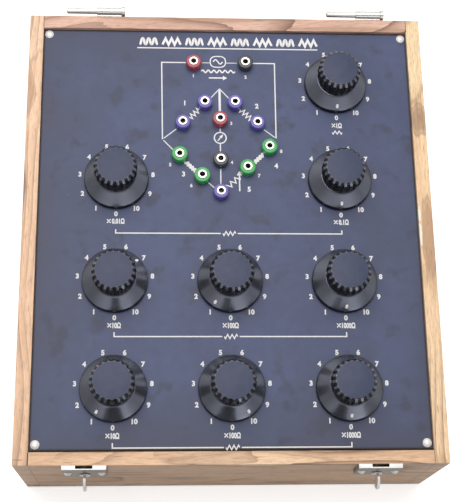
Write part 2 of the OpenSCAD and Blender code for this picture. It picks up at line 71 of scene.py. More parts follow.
class Nodes:
    """Short ways to add and link nodes in a shader tree."""

    def __init__(self, tree):
        self.tree = tree

    def add(self, kind, inputs=None, **settings):
        node = self.tree.nodes.new("ShaderNode" + kind)
        for key, value in settings.items():
            setattr(node, key, value)
        for key, value in (inputs or {}).items():
            self.put(node.inputs[key], value)
        return node

    def put(self, socket, value):
        """Links a socket to a node or to one of its outputs, or writes a constant on it."""
        if isinstance(value, bpy.types.NodeSocket):
            self.tree.links.new(value, socket)
        elif isinstance(value, bpy.types.Node):
            self.tree.links.new(value.outputs[0], socket)
        else:
            socket.default_value = value

    def place(self, scale=(1, 1, 1), offset=(0, 0, 0), tilt=0.0):
        """Object coordinates, turned about Z by a tilt in degrees, then scaled and moved."""
        coords = self.add("TexCoord").outputs["Object"]
        if tilt:
            coords = self.add("Mapping", {"Vector": coords, "Rotation": (0, 0, math.radians(tilt))})
        return self.add("Mapping", {"Vector": coords, "Scale": scale, "Location": offset})

    def axes(self, vector):
        return self.add("SeparateXYZ", {"Vector": vector}).outputs

    def noise(self, vector, scale, detail=4.0, roughness=0.55):
        inputs = {"Vector": vector, "Scale": scale, "Detail": detail, "Roughness": roughness}
        return self.add("TexNoise", inputs).outputs["Fac"]

    def math(self, operation, a, b=0.0):
        node = self.add("Math", operation=operation)
        self.put(node.inputs[0], a)
        self.put(node.inputs[1], b)
        return node.outputs[0]

    def plus(self, a, b):
        return self.math("ADD", a, b)

    def minus(self, a, b):
        return self.math("SUBTRACT", a, b)

    def times(self, a, b):
        return self.math("MULTIPLY", a, b)

    def ramp(self, factor, low, high):
        """A colour between two stops, each of them (position, colour)."""
        node = self.add("ValToRGB", {"Fac": factor})
        for element, (position, colour) in zip(node.color_ramp.elements, (low, high)):
            element.position = position
            element.color = (*colour, 1.0)
        return node.outputs["Color"]

    def levels(self, factor, low, high, out_low=0.0, out_high=1.0):
        """Maps the range from low to high to another one, and holds its ends."""
        inputs = {"Value": factor, "From Min": low, "From Max": high, "To Min": out_low, "To Max": out_high}
        return self.add("MapRange", inputs).outputs["Result"]

    def mix(self, factor, a, b):
        """Colour a, changing to colour b with the factor."""
        node = self.add("Mix", data_type="RGBA")
        self.put(node.inputs[0], factor)
        for socket, value in zip([s for s in node.inputs if s.type == "RGBA"], (a, b)):
            self.put(socket, (*value, 1.0) if isinstance(value, tuple) else value)
        return [s for s in node.outputs if s.type == "RGBA"][0]


class Material(Nodes):
    """A material with one Principled surface."""

    def __init__(self, name):
        self.data = bpy.data.materials.new(name)
        self.data.use_nodes = True
        super().__init__(self.data.node_tree)
        self.surface = self.tree.nodes["Principled BSDF"]

    def set(self, **inputs):
        for key, value in inputs.items():
            self.put(self.surface.inputs[key.replace("_", " ")], value)

    def bump(self, height, strength, distance):
        node = self.add("Bump", {"Height": height, "Strength": strength, "Distance": distance})
        self.set(Normal=node.outputs["Normal"])


def darker(colour, share):
    return tuple(share * c for c in colour)


# How far the patches on a board's upper edge run down its sides, and the bare wood of chips
PATCH_DEPTH = 14.0
CHIPPED = (0.88, 0.85, 0.77)


def wood(name, along, seed, light, mid, dark, lines, patches=(), flecks=None, even=0.05, tilt=0.0):
    """Varnished board: growth lines along one axis, fibres, pores, and patches on its upper edge.

    lines is the strength of the growth lines, even their least share, tilt the slope of the grain in degrees.
    A patch is (place along the board, place across its edge, half length, half width, colour, strength).
    flecks is such a place, without colour and strength, where the varnish is chipped.
    """
    m = Material(name)
    axis = "XY".index(along)

    def stretched(share):
        return m.place([share if i == axis else 1.0 for i in range(3)], seed, tilt)

    place = m.axes(m.place())
    below = m.levels(place["Z"], CASE_H * MM, (CASE_H - PATCH_DEPTH) * MM)

    def away(middle, across, length, width):
        """Nought at the middle of a lozenge on the board's upper edge, one at its border."""
        u = m.math("DIVIDE", m.minus(place[axis], middle * MM), length * MM)
        v = m.math("DIVIDE", m.minus(place[1 - axis], across * MM), width * MM)
        return m.plus(m.plus(m.math("ABSOLUTE", u), m.times(v, v)), below)

    # Growth lines: shells round a pith beside the board, bent by a slow noise, dark at the end of each year
    figure = m.noise(stretched(0.26), 18.0, 1.0, 0.5)
    ragged = m.noise(stretched(0.10), 120.0, 3.0, 0.6)
    pith = m.add("VectorMath", {0: stretched(0.0)}, operation="LENGTH").outputs["Value"]
    cycles = m.plus(m.times(pith, 240.0), m.times(figure, 11.0))
    year = m.math("FRACT", m.plus(cycles, m.times(ragged, 0.45)))
    where = m.levels(m.noise(stretched(0.35), 24.0, 2.0), 0.38, 0.58, even, 1.0)
    late = m.times(m.math("POWER", year, 4.0), m.times(where, lines))
    # Slow changes of tone, fibres and pores
    slow = m.noise(stretched(0.35), 30.0, 3.0, 0.55)
    tone = m.plus(m.times(ragged, 0.5), m.times(slow, 0.5))
    fibres = m.noise(stretched(0.14), 700.0, 3.0, 0.75)
    streak = m.levels(fibres, 0.42, 0.66)
    pores = m.levels(m.noise(stretched(0.08), 1000.0, 2.0, 0.5), 0.60, 0.70)

    colour = m.ramp(tone, (0.36, mid), (0.60, light))
    for middle, across, length, width, tint, strength in patches:
        far = m.plus(away(middle, across, length, width), m.times(m.minus(tone, 0.5), 2.4))
        colour = m.mix(m.times(m.levels(far, 1.12, 0.72), strength), colour, tint)
        rim = m.levels(m.math("ABSOLUTE", m.minus(far, 1.0)), 0.13, 0.02)
        colour = m.mix(m.times(rim, 0.45 * strength), colour, dark)
    colour = m.mix(m.times(m.times(year, where), 0.28), colour, darker(mid, 0.6))
    colour = m.mix(late, colour, dark)
    colour = m.mix(m.times(streak, 0.38), colour, darker(mid, 0.55))
    colour = m.mix(m.times(pores, 0.40), colour, darker(dark, 0.5))
    if flecks:
        chips = m.levels(m.noise(stretched(0.35), 420.0, 3.0, 0.6), 0.43, 0.55)
        colour = m.mix(m.times(chips, m.levels(away(*flecks), 1.0, 0.7)), colour, CHIPPED)
    m.set(Base_Color=colour, Roughness=m.levels(fibres, 0.3, 0.7, 0.38, 0.55),
          Coat_Weight=0.15, Coat_Roughness=0.25, Specular_IOR_Level=0.3)
    m.bump(m.minus(fibres, pores), 0.25, 0.0002)
    return m.data


def plastic(name, colour, rough=0.25, vary=0.12, grain=0.06, **gloss):
    """Moulded plastic with a slight cloud in its colour and a fine, uneven gloss."""
    m = Material(name)
    here = m.place()
    cloud = m.noise(here, 160.0, 3.0)
    dust = m.noise(here, 1800.0, 2.0, 0.7)
    high = tuple(min(1.0, c * (1.0 + vary) + 0.004) for c in colour)
    m.set(Base_Color=m.ramp(cloud, (0.3, darker(colour, 1.0 - vary)), (0.7, high)),
          Roughness=m.levels(dust, 0.3, 0.7, rough * 0.8, rough * 1.25), **gloss)
    m.bump(dust, grain, 0.0001)
    return m.data


def moulded(name, colour):
    return plastic(name, colour, 0.22, 0.15, Coat_Weight=0.3, Coat_Roughness=0.08)


def metal(name, colour, rough, brushed=(1, 1, 1), tarnish=(0.4, 0.36, 0.3), amount=0.2, metallic=1.0):
    """Plated or turned metal with fine marks and a little tarnish."""
    m = Material(name)
    marks = m.noise(m.place(brushed), 900.0, 3.0, 0.65)
    stain = m.levels(m.noise(m.place(), 60.0, 4.0, 0.6), 0.5, 0.75)
    m.set(Base_Color=m.mix(m.times(stain, amount), colour, tarnish), Metallic=metallic,
          Roughness=m.levels(marks, 0.3, 0.7, rough * 0.75, rough * 1.35))
    m.bump(marks, 0.08, 0.00005)
    return m.data


SPECK, PANEL_EDGE_SHADE = (0.75, 0.77, 0.8), (0.010, 0.010, 0.014)


def panel_sheet(name, dark, light, edge_tone):
    """Satin insulating sheet: cloudy slate, duller towards its edges, smudged, with tiny pale specks and a
    painted shadow at its very edge.
    """
    m = Material(name)
    here = m.place()
    clouds = m.noise(here, 14.0, 4.0, 0.6)
    mottle = m.noise(here, 120.0, 3.0, 0.6)
    tone = m.plus(m.times(clouds, 0.75), m.times(mottle, 0.25))
    colour = m.ramp(tone, (0.38, dark), (0.60, light))
    # Darker towards the edges, least of it in the rear right corner
    x, y, _ = m.axes(here)
    to_side = m.minus(INNER_W / 2 * MM, m.math("ABSOLUTE", x))
    to_end = m.minus(INNER_D / 2 * MM, m.math("ABSOLUTE", y))
    margin = m.math("MINIMUM", to_side, to_end)
    wander = m.plus(margin, m.times(m.minus(clouds, 0.5), 0.12))
    varied = m.levels(m.plus(x, y), 0.02, 0.22, 0.75, 0.12)
    colour = m.mix(m.times(m.levels(wander, 0.060, 0.0), varied), colour, edge_tone)
    smudge = m.levels(m.noise(m.place(offset=(3.1, 1.7, 0.4)), 62.0, 2.0, 0.5), 0.58, 0.70)
    colour = m.mix(m.times(smudge, 0.6), colour, darker(edge_tone, 0.78))
    # A few of the cells hold a speck
    cells = m.add("TexVoronoi", {"Vector": here, "Scale": 105.0, "Randomness": 1.0}).outputs
    spot = m.levels(cells["Distance"], 0.045, 0.03)
    share = m.add("SeparateColor", {"Color": cells["Color"]}).outputs[0]
    chosen = m.math("GREATER_THAN", share, 0.95)
    colour = m.mix(m.times(m.times(spot, chosen), 0.55), colour, SPECK)
    # Painted shade: a near-black band along the sheet's edges, for the shadow in the gap round it
    edge = m.levels(margin, 1.8 * MM, 0.8 * MM)
    colour = m.mix(m.times(edge, 0.85), colour, PANEL_EDGE_SHADE)
    m.set(Base_Color=colour, Roughness=m.levels(clouds, 0.3, 0.7, 0.40, 0.52), Specular_IOR_Level=0.4)
    m.bump(m.noise(here, 2200.0, 2.0, 0.6), 0.05, 0.0001)
    return m.data


def ink(name, colour):
    """Printed white: matt, with a slightly worn tone."""
    m = Material(name)
    varied = m.noise(m.place(), 700.0, 3.0, 0.6)
    m.set(Base_Color=m.ramp(varied, (0.25, darker(colour, 0.86)), (0.6, colour)),
          Roughness=m.levels(varied, 0.3, 0.7, 0.5, 0.65), Specular_IOR_Level=0.3)
    return m.data


PALE, BROWN, UMBER = (0.95, 0.74, 0.46), (0.46, 0.265, 0.16), (0.19, 0.095, 0.06)
LEFT_PATCHES = (
    (111.0, -159.0, 25.0, 9.5, BROWN, 0.7),
    (33.0, -158.5, 30.0, 2.6, (0.25, 0.11, 0.10), 0.9),
    (172.0, -153.0, 30.0, 20.0, (0.96, 0.70, 0.50), 0.6),
)
RIGHT_PATCHES = (
    (150.0, 153.0, 44.0, 30.0, PALE, 0.9),
    (92.0, 156.0, 17.0, 12.0, (0.38, 0.235, 0.155), 0.8),
    (-10.0, 154.5, 38.0, 6.5, BROWN, 0.75),
    (-120.0, 153.0, 80.0, 40.0, (0.96, 0.71, 0.46), 0.5),
)
RIGHT_FLECKS = (1.0, 147.7, 26.0, 1.7)
FRONT_PATCHES = (
    (8.0, -178.0, 66.0, 6.5, (0.96, 0.68, 0.45), 0.75),
    (-95.0, -169.5, 48.0, 3.0, BROWN, 0.75),
    (84.0, -169.5, 36.0, 4.0, BROWN, 0.75),
)
REAR_PATCHES = (
    (-20.0, 181.0, 95.0, 4.0, BROWN, 0.6),
    (110.0, 172.0, 50.0, 3.0, BROWN, 0.6),
)
MATERIAL = {
    "left_wall": wood("wood_left", "Y", (0.31, 0.12, 0.07), (0.97, 0.66, 0.45), (0.80, 0.51, 0.33), UMBER,
                      0.65, LEFT_PATCHES),
    "right_wall": wood("wood_right", "Y", (1.13, 0.44, 0.21), (0.97, 0.69, 0.43), (0.78, 0.50, 0.30), UMBER,
                       0.7, RIGHT_PATCHES, RIGHT_FLECKS),
    "front_wall": wood("wood_front", "X", (2.17, 0.83, 0.35), (0.86, 0.57, 0.37), (0.69, 0.43, 0.265), UMBER,
                       0.9, FRONT_PATCHES),
    "rear_wall": wood("wood_rear", "X", (3.39, 1.21, 0.49), (0.82, 0.53, 0.41), (0.65, 0.40, 0.31), UMBER,
                      1.0, REAR_PATCHES, even=0.5, tilt=-6.0),
    "inner_wood": wood("wood_inner", "Y", (4.7, 1.9, 0.6), (0.70, 0.54, 0.37), (0.60, 0.45, 0.30),
                       (0.42, 0.30, 0.19), 0.3),
    "panel": panel_sheet("panel_sheet", (0.054, 0.070, 0.154), (0.076, 0.097, 0.196), (0.053, 0.058, 0.098)),
    "knob": plastic("knob_gloss", (0.029, 0.031, 0.039), 0.21, 0.12, 0.015, IOR=1.85, Specular_IOR_Level=1.0,
                    Specular_Tint=(0.75, 0.81, 1.0, 1.0)),
    # Painted shade: a near-black, duller copy of the knob's plastic, for its rim, grip side and flute hollows
    "knob_shade": plastic("knob_shade", (0.006, 0.006, 0.007), 0.18, 0.1, 0.02, Specular_IOR_Level=0.4),
    "knob_top": plastic("knob_satin", (0.036, 0.047, 0.101), 0.42, 0.08, Specular_IOR_Level=0.4),
    "red": moulded("red_moulded", (0.36, 0.045, 0.065)),
    "black": moulded("black_moulded", (0.030, 0.031, 0.037)),
    "violet": moulded("violet_moulded", (0.10, 0.075, 0.38)),
    "green": moulded("green_moulded", (0.025, 0.34, 0.075)),
    "nickel": metal("nickel", (0.86, 0.85, 0.83), 0.22),
    "bright": metal("bright_nickel", (0.89, 0.885, 0.88), 0.42, (1, 1, 1), (0.7, 0.68, 0.65), 0.1, 0.3),
    # Painted shade: a dark copy of the nickel, mottled with darker stains, for the shaded faces of the
    # catches, hinges and pins
    "nickel_shade": metal("nickel_painted_shade", (0.27, 0.26, 0.24), 0.40, (1, 1, 1), (0.18, 0.16, 0.13), 0.5),
    "nickel_x": metal("nickel_drawn", (0.80, 0.79, 0.78), 0.26, (0.1, 1, 1), (0.45, 0.42, 0.38), 0.25, 0.9),
    "brass": metal("brass_turned", (0.78, 0.58, 0.28), 0.28, (1, 1, 0.2), (0.35, 0.24, 0.10), 0.35),
    "deck": plastic("deck_laminate", (0.16, 0.075, 0.035), 0.45, 0.25),
    "bobbin": plastic("bobbin_wound", (0.36, 0.16, 0.07), 0.5, 0.3),
    "ink": ink("white_ink", (0.86, 0.86, 0.87)),
    "index": ink("index_paint", (0.96, 0.96, 0.96)),
    "hole": plastic("bore_dark", (0.012, 0.012, 0.012), 0.6),
    "joint": plastic("glue_joint", (0.05, 0.027, 0.018), 0.7, 0.4),
}


# Mesh helpers

def add_object(name, data):
    obj = bpy.data.objects.new(name, data)
    bpy.context.scene.collection.objects.link(obj)
    return obj


def mesh_from(bm, name):
    """A mesh made of a bmesh, which is freed."""
    data = bpy.data.meshes.new(name)
    bm.to_mesh(data)
    bm.free()
    return data


def piece(name, bm, materials, replaced=(), body="case", crease=35.0, bevel=0.0):
    """Turns a bmesh in metres into a piece that rides on a body and stands for the replaced nodes."""
    bmesh.ops.remove_doubles(bm, verts=bm.verts, dist=1e-7)
    bmesh.ops.recalc_face_normals(bm, faces=bm.faces)
    data = mesh_from(bm, name)
    for key in materials:
        data.materials.append(MATERIAL[key])
    data.shade_smooth()
    data.set_sharp_from_angle(angle=math.radians(crease))
    obj = add_object(name, data)
    if bevel:
        edge = obj.modifiers.new("edge", "BEVEL")
        edge.width = bevel * MM
        edge.segments = 3
        edge.limit_method = "ANGLE"
        edge.angle_limit = math.radians(crease)
        edge.harden_normals = True
    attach(obj, body)
    if replaced:
        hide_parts(*replaced)


def polar(radius, angle, height):
    """A point in metres from a radius and a height in millimetres."""
    return Vector((radius * MM * math.cos(angle), radius * MM * math.sin(angle), height * MM))


def add_box(bm, low, high):
    """A box between two corners, in millimetres."""
    corners = [bm.verts.new((x * MM, y * MM, z * MM)) for x in (low[0], high[0]) for y in (low[1], high[1])
               for z in (low[2], high[2])]
    for loop in ((0, 1, 3, 2), (4, 6, 7, 5), (0, 4, 5, 1), (2, 3, 7, 6), (0, 2, 6, 4), (1, 5, 7, 3)):
        bm.faces.new([corners[i] for i in loop])


def bridge(bm, a, b):
    """Faces between two rings of as many points."""
    count = len(a)
    return [bm.faces.new((a[k], a[(k + 1) % count], b[(k + 1) % count], b[k])) for k in range(count)]


def add_prism(bm, outline, start, end):
    """A prism along X over an outline of (Y, Z), in millimetres; gives its two end faces."""
    first, last = [[bm.verts.new((x * MM, y * MM, z * MM)) for y, z in outline] for x in (start, end)]
    bridge(bm, first, last)
    return bm.faces.new(first), bm.faces.new(list(reversed(last)))


def add_lathe(bm, profile, matrix, segments=48, material=0):
    """A closed body of revolution about the local Z axis; profile is (radius, height) in millimetres."""
    rings = []
    for radius, height in profile:
        count = 1 if radius < 1e-6 else segments
        rings.append([bm.verts.new(matrix @ polar(radius, 2 * math.pi * k / segments, height))
                      for k in range(count)])
    pairs = list(zip(rings, rings[1:]))
    if len(rings[0]) > 1 and len(rings[-1]) > 1:
        pairs.append((rings[-1], rings[0]))
    for a, b in pairs:
        for k in range(segments):
            quad = [a[k % len(a)], a[(k + 1) % len(a)], b[(k + 1) % len(b)], b[k % len(b)]]
            corners = list(dict.fromkeys(quad))
            if len(corners) > 2:
                bm.faces.new(corners).material_index = material


def at(x, y, z, turn=0.0, about="Z"):
    """A place in millimetres, turned about an axis."""
    return Matrix.Translation((x * MM, y * MM, z * MM)) @ Matrix.Rotation(turn, 4, about)


def along_x(x, y, z):
    """A place whose local Z runs along +X."""
    return at(x, y, z, math.radians(90), "Y")


def along_y(x, y, z, sign):
    """A place whose local Z runs along +Y or -Y."""
    return at(x, y, z, math.radians(-90 * sign), "X")


def arc(cx, cz, radius, start, end, steps):
    """Points of a round stretch in an outline, between two angles in degrees."""
    angles = [math.radians(start + (end - start) * i / steps) for i in range(steps + 1)]
    return [(cx + radius * math.cos(a), cz + radius * math.sin(a)) for a in angles]


def rod(radius, low, high):
    return [(0.0, low), (radius, low), (radius, high), (0.0, high)]


def edges_along_y(bm, length):
    """The edges of a plate that run through its thickness."""
    return [e for e in bm.edges if abs((e.verts[0].co - e.verts[1].co).y) > 0.9 * length * MM]


def round_edges(bm, edges, radius, segments):
    bmesh.ops.bevel(bm, geom=edges, offset=radius * MM, segments=segments, affect="EDGES", profile=0.5)


def cut_out(bm, cutters):
    """The bmesh less the cutter bmeshes, by an exact boolean."""
    blank = add_object("blank", mesh_from(bm, "blank"))
    made = []
    for cutter in cutters:
        bmesh.ops.recalc_face_normals(cutter, faces=cutter.faces)
        tool = add_object("cutter", mesh_from(cutter, "cutter"))
        cut = blank.modifiers.new("cut", "BOOLEAN")
        cut.operation = "DIFFERENCE"
        cut.solver = "EXACT"
        cut.object = tool
        made.append(tool)
    bpy.context.view_layer.update()
    result = bmesh.new()
    result.from_object(blank, bpy.context.evaluated_depsgraph_get())
    for obj in made + [blank]:
        old = obj.data
        bpy.data.objects.remove(obj)
        bpy.data.meshes.remove(old)
    return result


def merge(meshes):
    whole = bmesh.new()
    for part in meshes:
        data = mesh_from(part, "part")
        whole.from_mesh(data)
        bpy.data.meshes.remove(data)
    return whole


# Case

SEAM, FRONT_GAP = 0.12, 1.3
CROSS_WALL_X = (-INNER_W / 2 + SEAM, INNER_W / 2 - SEAM)
# Corner and width of each open joint in the rim
JOINTS = ((-1, -1, 0.7), (1, -1, 0.3), (-1, 1, 0.3), (1, 1, 0.4))
JOINT_LOW, JOINT_TOP, JOINT_INSET = CASE_H - 1.0, CASE_H + 0.02, 0.4


def side_wall(side):
    """A wall over the whole depth; its two ends get the second material."""
    bm = bmesh.new()
    low, high = sorted((side * INNER_W / 2, side * CASE_W / 2))
    add_box(bm, (low, FRONT, 0), (high, REAR, CASE_H))
    bm.normal_update()
    for face in bm.faces:
        face.material_index = 1 if abs(face.normal.y) > 0.5 else 0
    return bm


def front_wall():
    """A wall between the side walls that stands a little off the panel, down to the batten."""
    bm = bmesh.new()
    inner, ledge = FRONT + WALL, PANEL_TOP - PANEL_T
    add_prism(bm, [(FRONT, 0), (inner, 0), (inner, ledge), (inner - FRONT_GAP, ledge),
                   (inner - FRONT_GAP, CASE_H), (FRONT, CASE_H)], *CROSS_WALL_X)
    return bm


def rear_wall():
    bm = bmesh.new()
    add_box(bm, (CROSS_WALL_X[0], REAR - WALL, 0), (CROSS_WALL_X[1], REAR, CASE_H))
    return bm


def joint_lines():
    """Open glue joints at the corners of the rim, and a crack across the front end of the left wall."""
    bm = bmesh.new()
    for sx, sy, wide in JOINTS:
        x, y = sx * INNER_W / 2, sy * (CASE_D / 2 - WALL / 2)
        far = WALL / 2 - JOINT_INSET - (FRONT_GAP if sy < 0 else 0.0)
        add_box(bm, (x - wide / 2, y - WALL / 2 + JOINT_INSET, JOINT_LOW), (x + wide / 2, y + far, JOINT_TOP))
    add_box(bm, (-CASE_W / 2 + 0.5, FRONT + 4.0, JOINT_LOW), (-CASE_W / 2 + 7.0, FRONT + 4.35, JOINT_TOP))
    return bm


for side, name in SIDES:
    wall = name + "_wall"
    piece("wall_" + name, side_wall(side), [wall, "front_wall"], [wall], bevel=0.4)
piece("wall_front", front_wall(), ["front_wall"], ["front_wall"], bevel=0.3)
piece("wall_rear", rear_wall(), ["rear_wall"], ["rear_wall"], bevel=0.3)
piece("joint_lines", joint_lines(), ["joint"])


# Knobs: a glossy skirt and fluted grip turned in one, with a satin top

FLUTES, FLUTE_COLUMNS, FLUTE_R, FLUTE_DEPTH = 21, 14, 1.4, 1.4
GRIP_R, FOOT_R, FOOT_H, CHAMFER, KNOB_H = 16.5, 15.2, 12.1, 2.5, 30.0
SKIRT_R, RIM_R, RIM_H, SKIRT_TOP_R, SKIRT_H = 25.0, 24.6, 4.5, 17.0, 11.0
HOLLOW_R, HOLLOW_H, LIFT = 12.0, 4.8, 0.4
CHAMFER_SHARES = (0.14, 0.28, 0.42, 0.54, 0.66, 0.78, 0.9)
RIM_ROWS, SIDE_ROWS = 5, 5
INDEX_R, INDEX_HALF_L, INDEX_HALF_W, INDEX_POINTS = 21.7, 1.25, 1.0, 16
INDEX_SUNK, INDEX_PROUD = -0.15, 0.06
SLOPE_NORMAL = (0.65, 0.76)


def flute_radius(angle):
    """Radius of the flutes' outline at an angle, or a large one between them."""
    pitch = 2 * math.pi / FLUTES
    away = (angle % pitch) - pitch / 2
    centre = GRIP_R + FLUTE_R - FLUTE_DEPTH
    inside = FLUTE_R ** 2 - (centre * math.sin(away)) ** 2
    return centre * math.cos(away) - math.sqrt(inside) if inside > 0 else 2 * GRIP_R


def soft_least(a, b, blend=0.10):
    """The lesser of two radii, with a rounded corner where they meet."""
    share = max(0.0, blend - abs(a - b)) / blend
    return min(a, b) - share * share * blend / 4


def slope_height(radius):
    """Height of the skirt's slope at a radius."""
    return RIM_H + (RIM_R - radius) * (SKIRT_H - RIM_H) / (RIM_R - SKIRT_TOP_R)


def blunt(value, power):
    """A sine or cosine drawn towards its extremes, which squares a round off."""
    return math.copysign(abs(value) ** power, value)


def knob_mesh(matrix):
    bm = bmesh.new()
    columns = FLUTES * FLUTE_COLUMNS
    edge = KNOB_H - CHAMFER
    # Rows of the turned skirt, then rows of the grip: its drawn-in foot, its side and its wide chamfer
    turned = [(HOLLOW_R, HOLLOW_H), (HOLLOW_R, LIFT), (SKIRT_R - 0.4, LIFT), (SKIRT_R, LIFT + 0.3),
              (RIM_R + 0.06, RIM_H - 0.35), (RIM_R - 0.05, RIM_H), (RIM_R - 0.35, RIM_H + 0.3)]
    turned += [(r, slope_height(r)) for r in (22.0, 19.5, SKIRT_TOP_R, FOOT_R + 0.7)]
    turned += [(FOOT_R + 0.4, FOOT_H), (FOOT_R + 0.12, FOOT_H + 0.1), (FOOT_R, FOOT_H + 0.35)]
    grip = [(FOOT_R, 13.0), (FOOT_R + 0.5, 15.5), (GRIP_R, 18.5), (GRIP_R, 23.0), (GRIP_R, edge - 0.25),
            (GRIP_R - 0.1, edge)]
    grip += [(GRIP_R - t * CHAMFER, edge + t * CHAMFER) for t in CHAMFER_SHARES]
    grip += [(GRIP_R - CHAMFER - 0.02, KNOB_H - 0.06), (GRIP_R - CHAMFER - 0.25, KNOB_H)]
    rings = []
    for row, (radius, height) in enumerate(turned + grip):
        ring = []
        for k in range(columns):
            angle = 2 * math.pi * k / columns
            r = radius if row < len(turned) else soft_least(radius, flute_radius(angle))
            ring.append(bm.verts.new(matrix @ polar(r, angle, height)))
        rings.append(ring)
    hollow = [flute_radius(2 * math.pi * (k + 0.5) / columns) < GRIP_R - 0.35 for k in range(columns)]
    for row, (a, b) in enumerate(zip(rings, rings[1:])):
        # Painted shade: the rim, the grip's side and the flute hollows take a near-black, duller copy of the
        # plastic; the slopes and the chamfer take the sheen
        upright = row < RIM_ROWS or len(turned) - 1 <= row < len(turned) + SIDE_ROWS
        for k, face in enumerate(bridge(bm, a, b)):
            face.material_index = 2 if upright or (row >= len(turned) and hollow[k]) else 0
    bm.faces.new(rings[-1]).material_index = 1
    bm.faces.new(list(reversed(rings[0])))
    return bm


def index_mesh(matrix):
    """A short white mark on the slope of the skirt, towards the digit shown."""
    bm = bmesh.new()
    rings = []
    for lift in (INDEX_SUNK, INDEX_PROUD):
        out, up = (lift * n for n in SLOPE_NORMAL)
        ring = []
        for k in range(INDEX_POINTS):
            a = 2 * math.pi * k / INDEX_POINTS
            r = INDEX_R + INDEX_HALF_L * blunt(math.cos(a), 0.6)
            s = INDEX_HALF_W * blunt(math.sin(a), 0.6)
            z = slope_height(math.hypot(r, s))
            ring.append(bm.verts.new(matrix @ Vector(((r + out) * MM, s * MM, (z + up) * MM))))
        rings.append(ring)
    low, high = rings
    bridge(bm, low, high)
    bm.faces.new(high)
    bm.faces.new(list(reversed(low)))
    return bm


for i, (x, y) in enumerate(DIALS):
    number = str(i + 1)
    body = "dial_" + number
    turn = at(x, y, PANEL_TOP, digit_angle(DIAL_DIGIT[i]))
    piece("knob_body_" + number, knob_mesh(turn), ["knob", "knob_top", "knob_shade"],
          ["knob_" + number], body, crease=40.0)
    piece("knob_index_" + number, index_mesh(turn), ["index"], body=body)


# Sockets: a coloured head let into the panel round a bright sleeve

HEAD_R, GREEN_HEAD_R, HEAD_H, HEAD_BORE = 6.0, 6.3, 6.5, 3.1
SPIGOT_R, SPIGOT_L, FOOT_ROUND, SHOULDER, DISH_R, DISH = 4.2, 4.6, 0.3, 0.95, 4.0, 0.05
SLEEVE_R, SLEEVE_L, PLUG_R, PLUG_L = 3.0, 18.9, 2.0, 16.9
LIP_R, LIP_UNDER, LIP_TOP, LIP_ROUND, MOUTH_ROUND = 3.5, 6.45, 7.1, 0.25, 0.4


def head_profile(radius):
    """A round-shouldered head over its spigot, dished a little round the sleeve."""
    profile = [(HEAD_BORE, -SPIGOT_L), (SPIGOT_R, -SPIGOT_L), (SPIGOT_R, 0.0), (radius - FOOT_ROUND, 0.0)]
    profile += arc(radius - FOOT_ROUND, FOOT_ROUND, FOOT_ROUND, -90, 0, 3)
    profile += arc(radius - SHOULDER, HEAD_H - SHOULDER, SHOULDER, 0, 80, 6)
    return profile + [(DISH_R, HEAD_H - DISH), (HEAD_BORE, HEAD_H - DISH)]


def sleeve_profile():
    """A tube with a closed end, a lip on the head and a rounded mouth."""
    profile = [(0.0, -SLEEVE_L), (SLEEVE_R - 0.4, -SLEEVE_L), (SLEEVE_R, -SLEEVE_L + 0.4)]
    profile += [(SLEEVE_R, LIP_UNDER), (LIP_R, LIP_UNDER)]
    profile += arc(LIP_R - LIP_ROUND, LIP_TOP - LIP_ROUND, LIP_ROUND, 0, 90, 4)
    profile += arc(PLUG_R + MOUTH_ROUND, LIP_TOP - MOUTH_ROUND, MOUTH_ROUND, 90, 180, 4)
    return profile + [(PLUG_R, -PLUG_L), (0.0, -PLUG_L)]


sleeves = bmesh.new()
for colour, places in SOCKETS.items():
    for i, (x, y) in enumerate(places):
        head = bmesh.new()
        add_lathe(head, head_profile(GREEN_HEAD_R if colour == "green" else HEAD_R), at(x, y, PANEL_TOP))
        piece("%s_head_%d" % (colour, i + 1), head, [colour],
              ["%s_socket_%d" % (colour, i + 1)])
        add_lathe(sleeves, sleeve_profile(), at(x, y, PANEL_TOP), 40)
piece("sleeves", sleeves, ["nickel"], ["socket_sleeves"])


# Screws

# Head radius and height, shank radius and length, slot width
PANEL_SCREW = (3.3, 1.5, 1.6, 14.0, 0.6)
CATCH_SCREW = (2.8, 2.0, 1.4, 7.0, 0.5)
HINGE_SCREW = (2.8, 1.6, 1.4, 7.0, 0.7)
PANEL_SCREW_INSET = 4.5
DOME_SHARES = (1.0, 0.85, 0.7, 0.55, 0.4, 0.25, 0.1)


def screw_mesh(matrix, size, turn, cross=False):
    """A domed screw head with a slot or a cross, on its shank; turn is the slot's angle in degrees."""
    head_r, head_h, shank_r, shank_l, slot_w = size
    bm = bmesh.new()
    dome_r = (head_r ** 2 + head_h ** 2) / (2 * head_h)
    half = math.asin(min(1.0, (head_r - 0.1) / dome_r))
    dome = [(dome_r * math.sin(half * t), head_h - dome_r + dome_r * math.cos(half * t)) for t in DOME_SHARES]
    shank = [(0.0, -shank_l), (shank_r * 0.4, -shank_l), (shank_r, -shank_l + 2.0), (shank_r, 0.0)]
    head = [(head_r - 0.1, 0.0), (head_r, 0.15)] + dome + [(0.0, head_h)]
    add_lathe(bm, shank + head, Matrix.Identity(4), 32)
    reach, floor_z = (head_r * 0.5, head_h * 0.7) if cross else (head_r * 1.2, head_h * 0.45)
    cutters = []
    for angle in ((turn, turn + 90) if cross else (turn,)):
        tool = bmesh.new()
        add_box(tool, (-reach, -slot_w / 2, floor_z), (reach, slot_w / 2, head_h * 2))
        tool.transform(Matrix.Rotation(math.radians(angle), 4, "Z"))
        cutters.append(tool)
    made = cut_out(bm, cutters)
    made.transform(matrix)
    return made


corner_screws = []
for i, (side, end) in enumerate(CORNERS):
    place = at(side * (INNER_W / 2 - PANEL_SCREW_INSET), end * (INNER_D / 2 - PANEL_SCREW_INSET), PANEL_TOP)
    corner_screws.append(screw_mesh(place, PANEL_SCREW, 20 + 37 * i, cross=True))
piece("corner_screws", merge(corner_screws), ["bright"], ["panel_screws"])


# Catches on the front wall, each with its thumb-turn

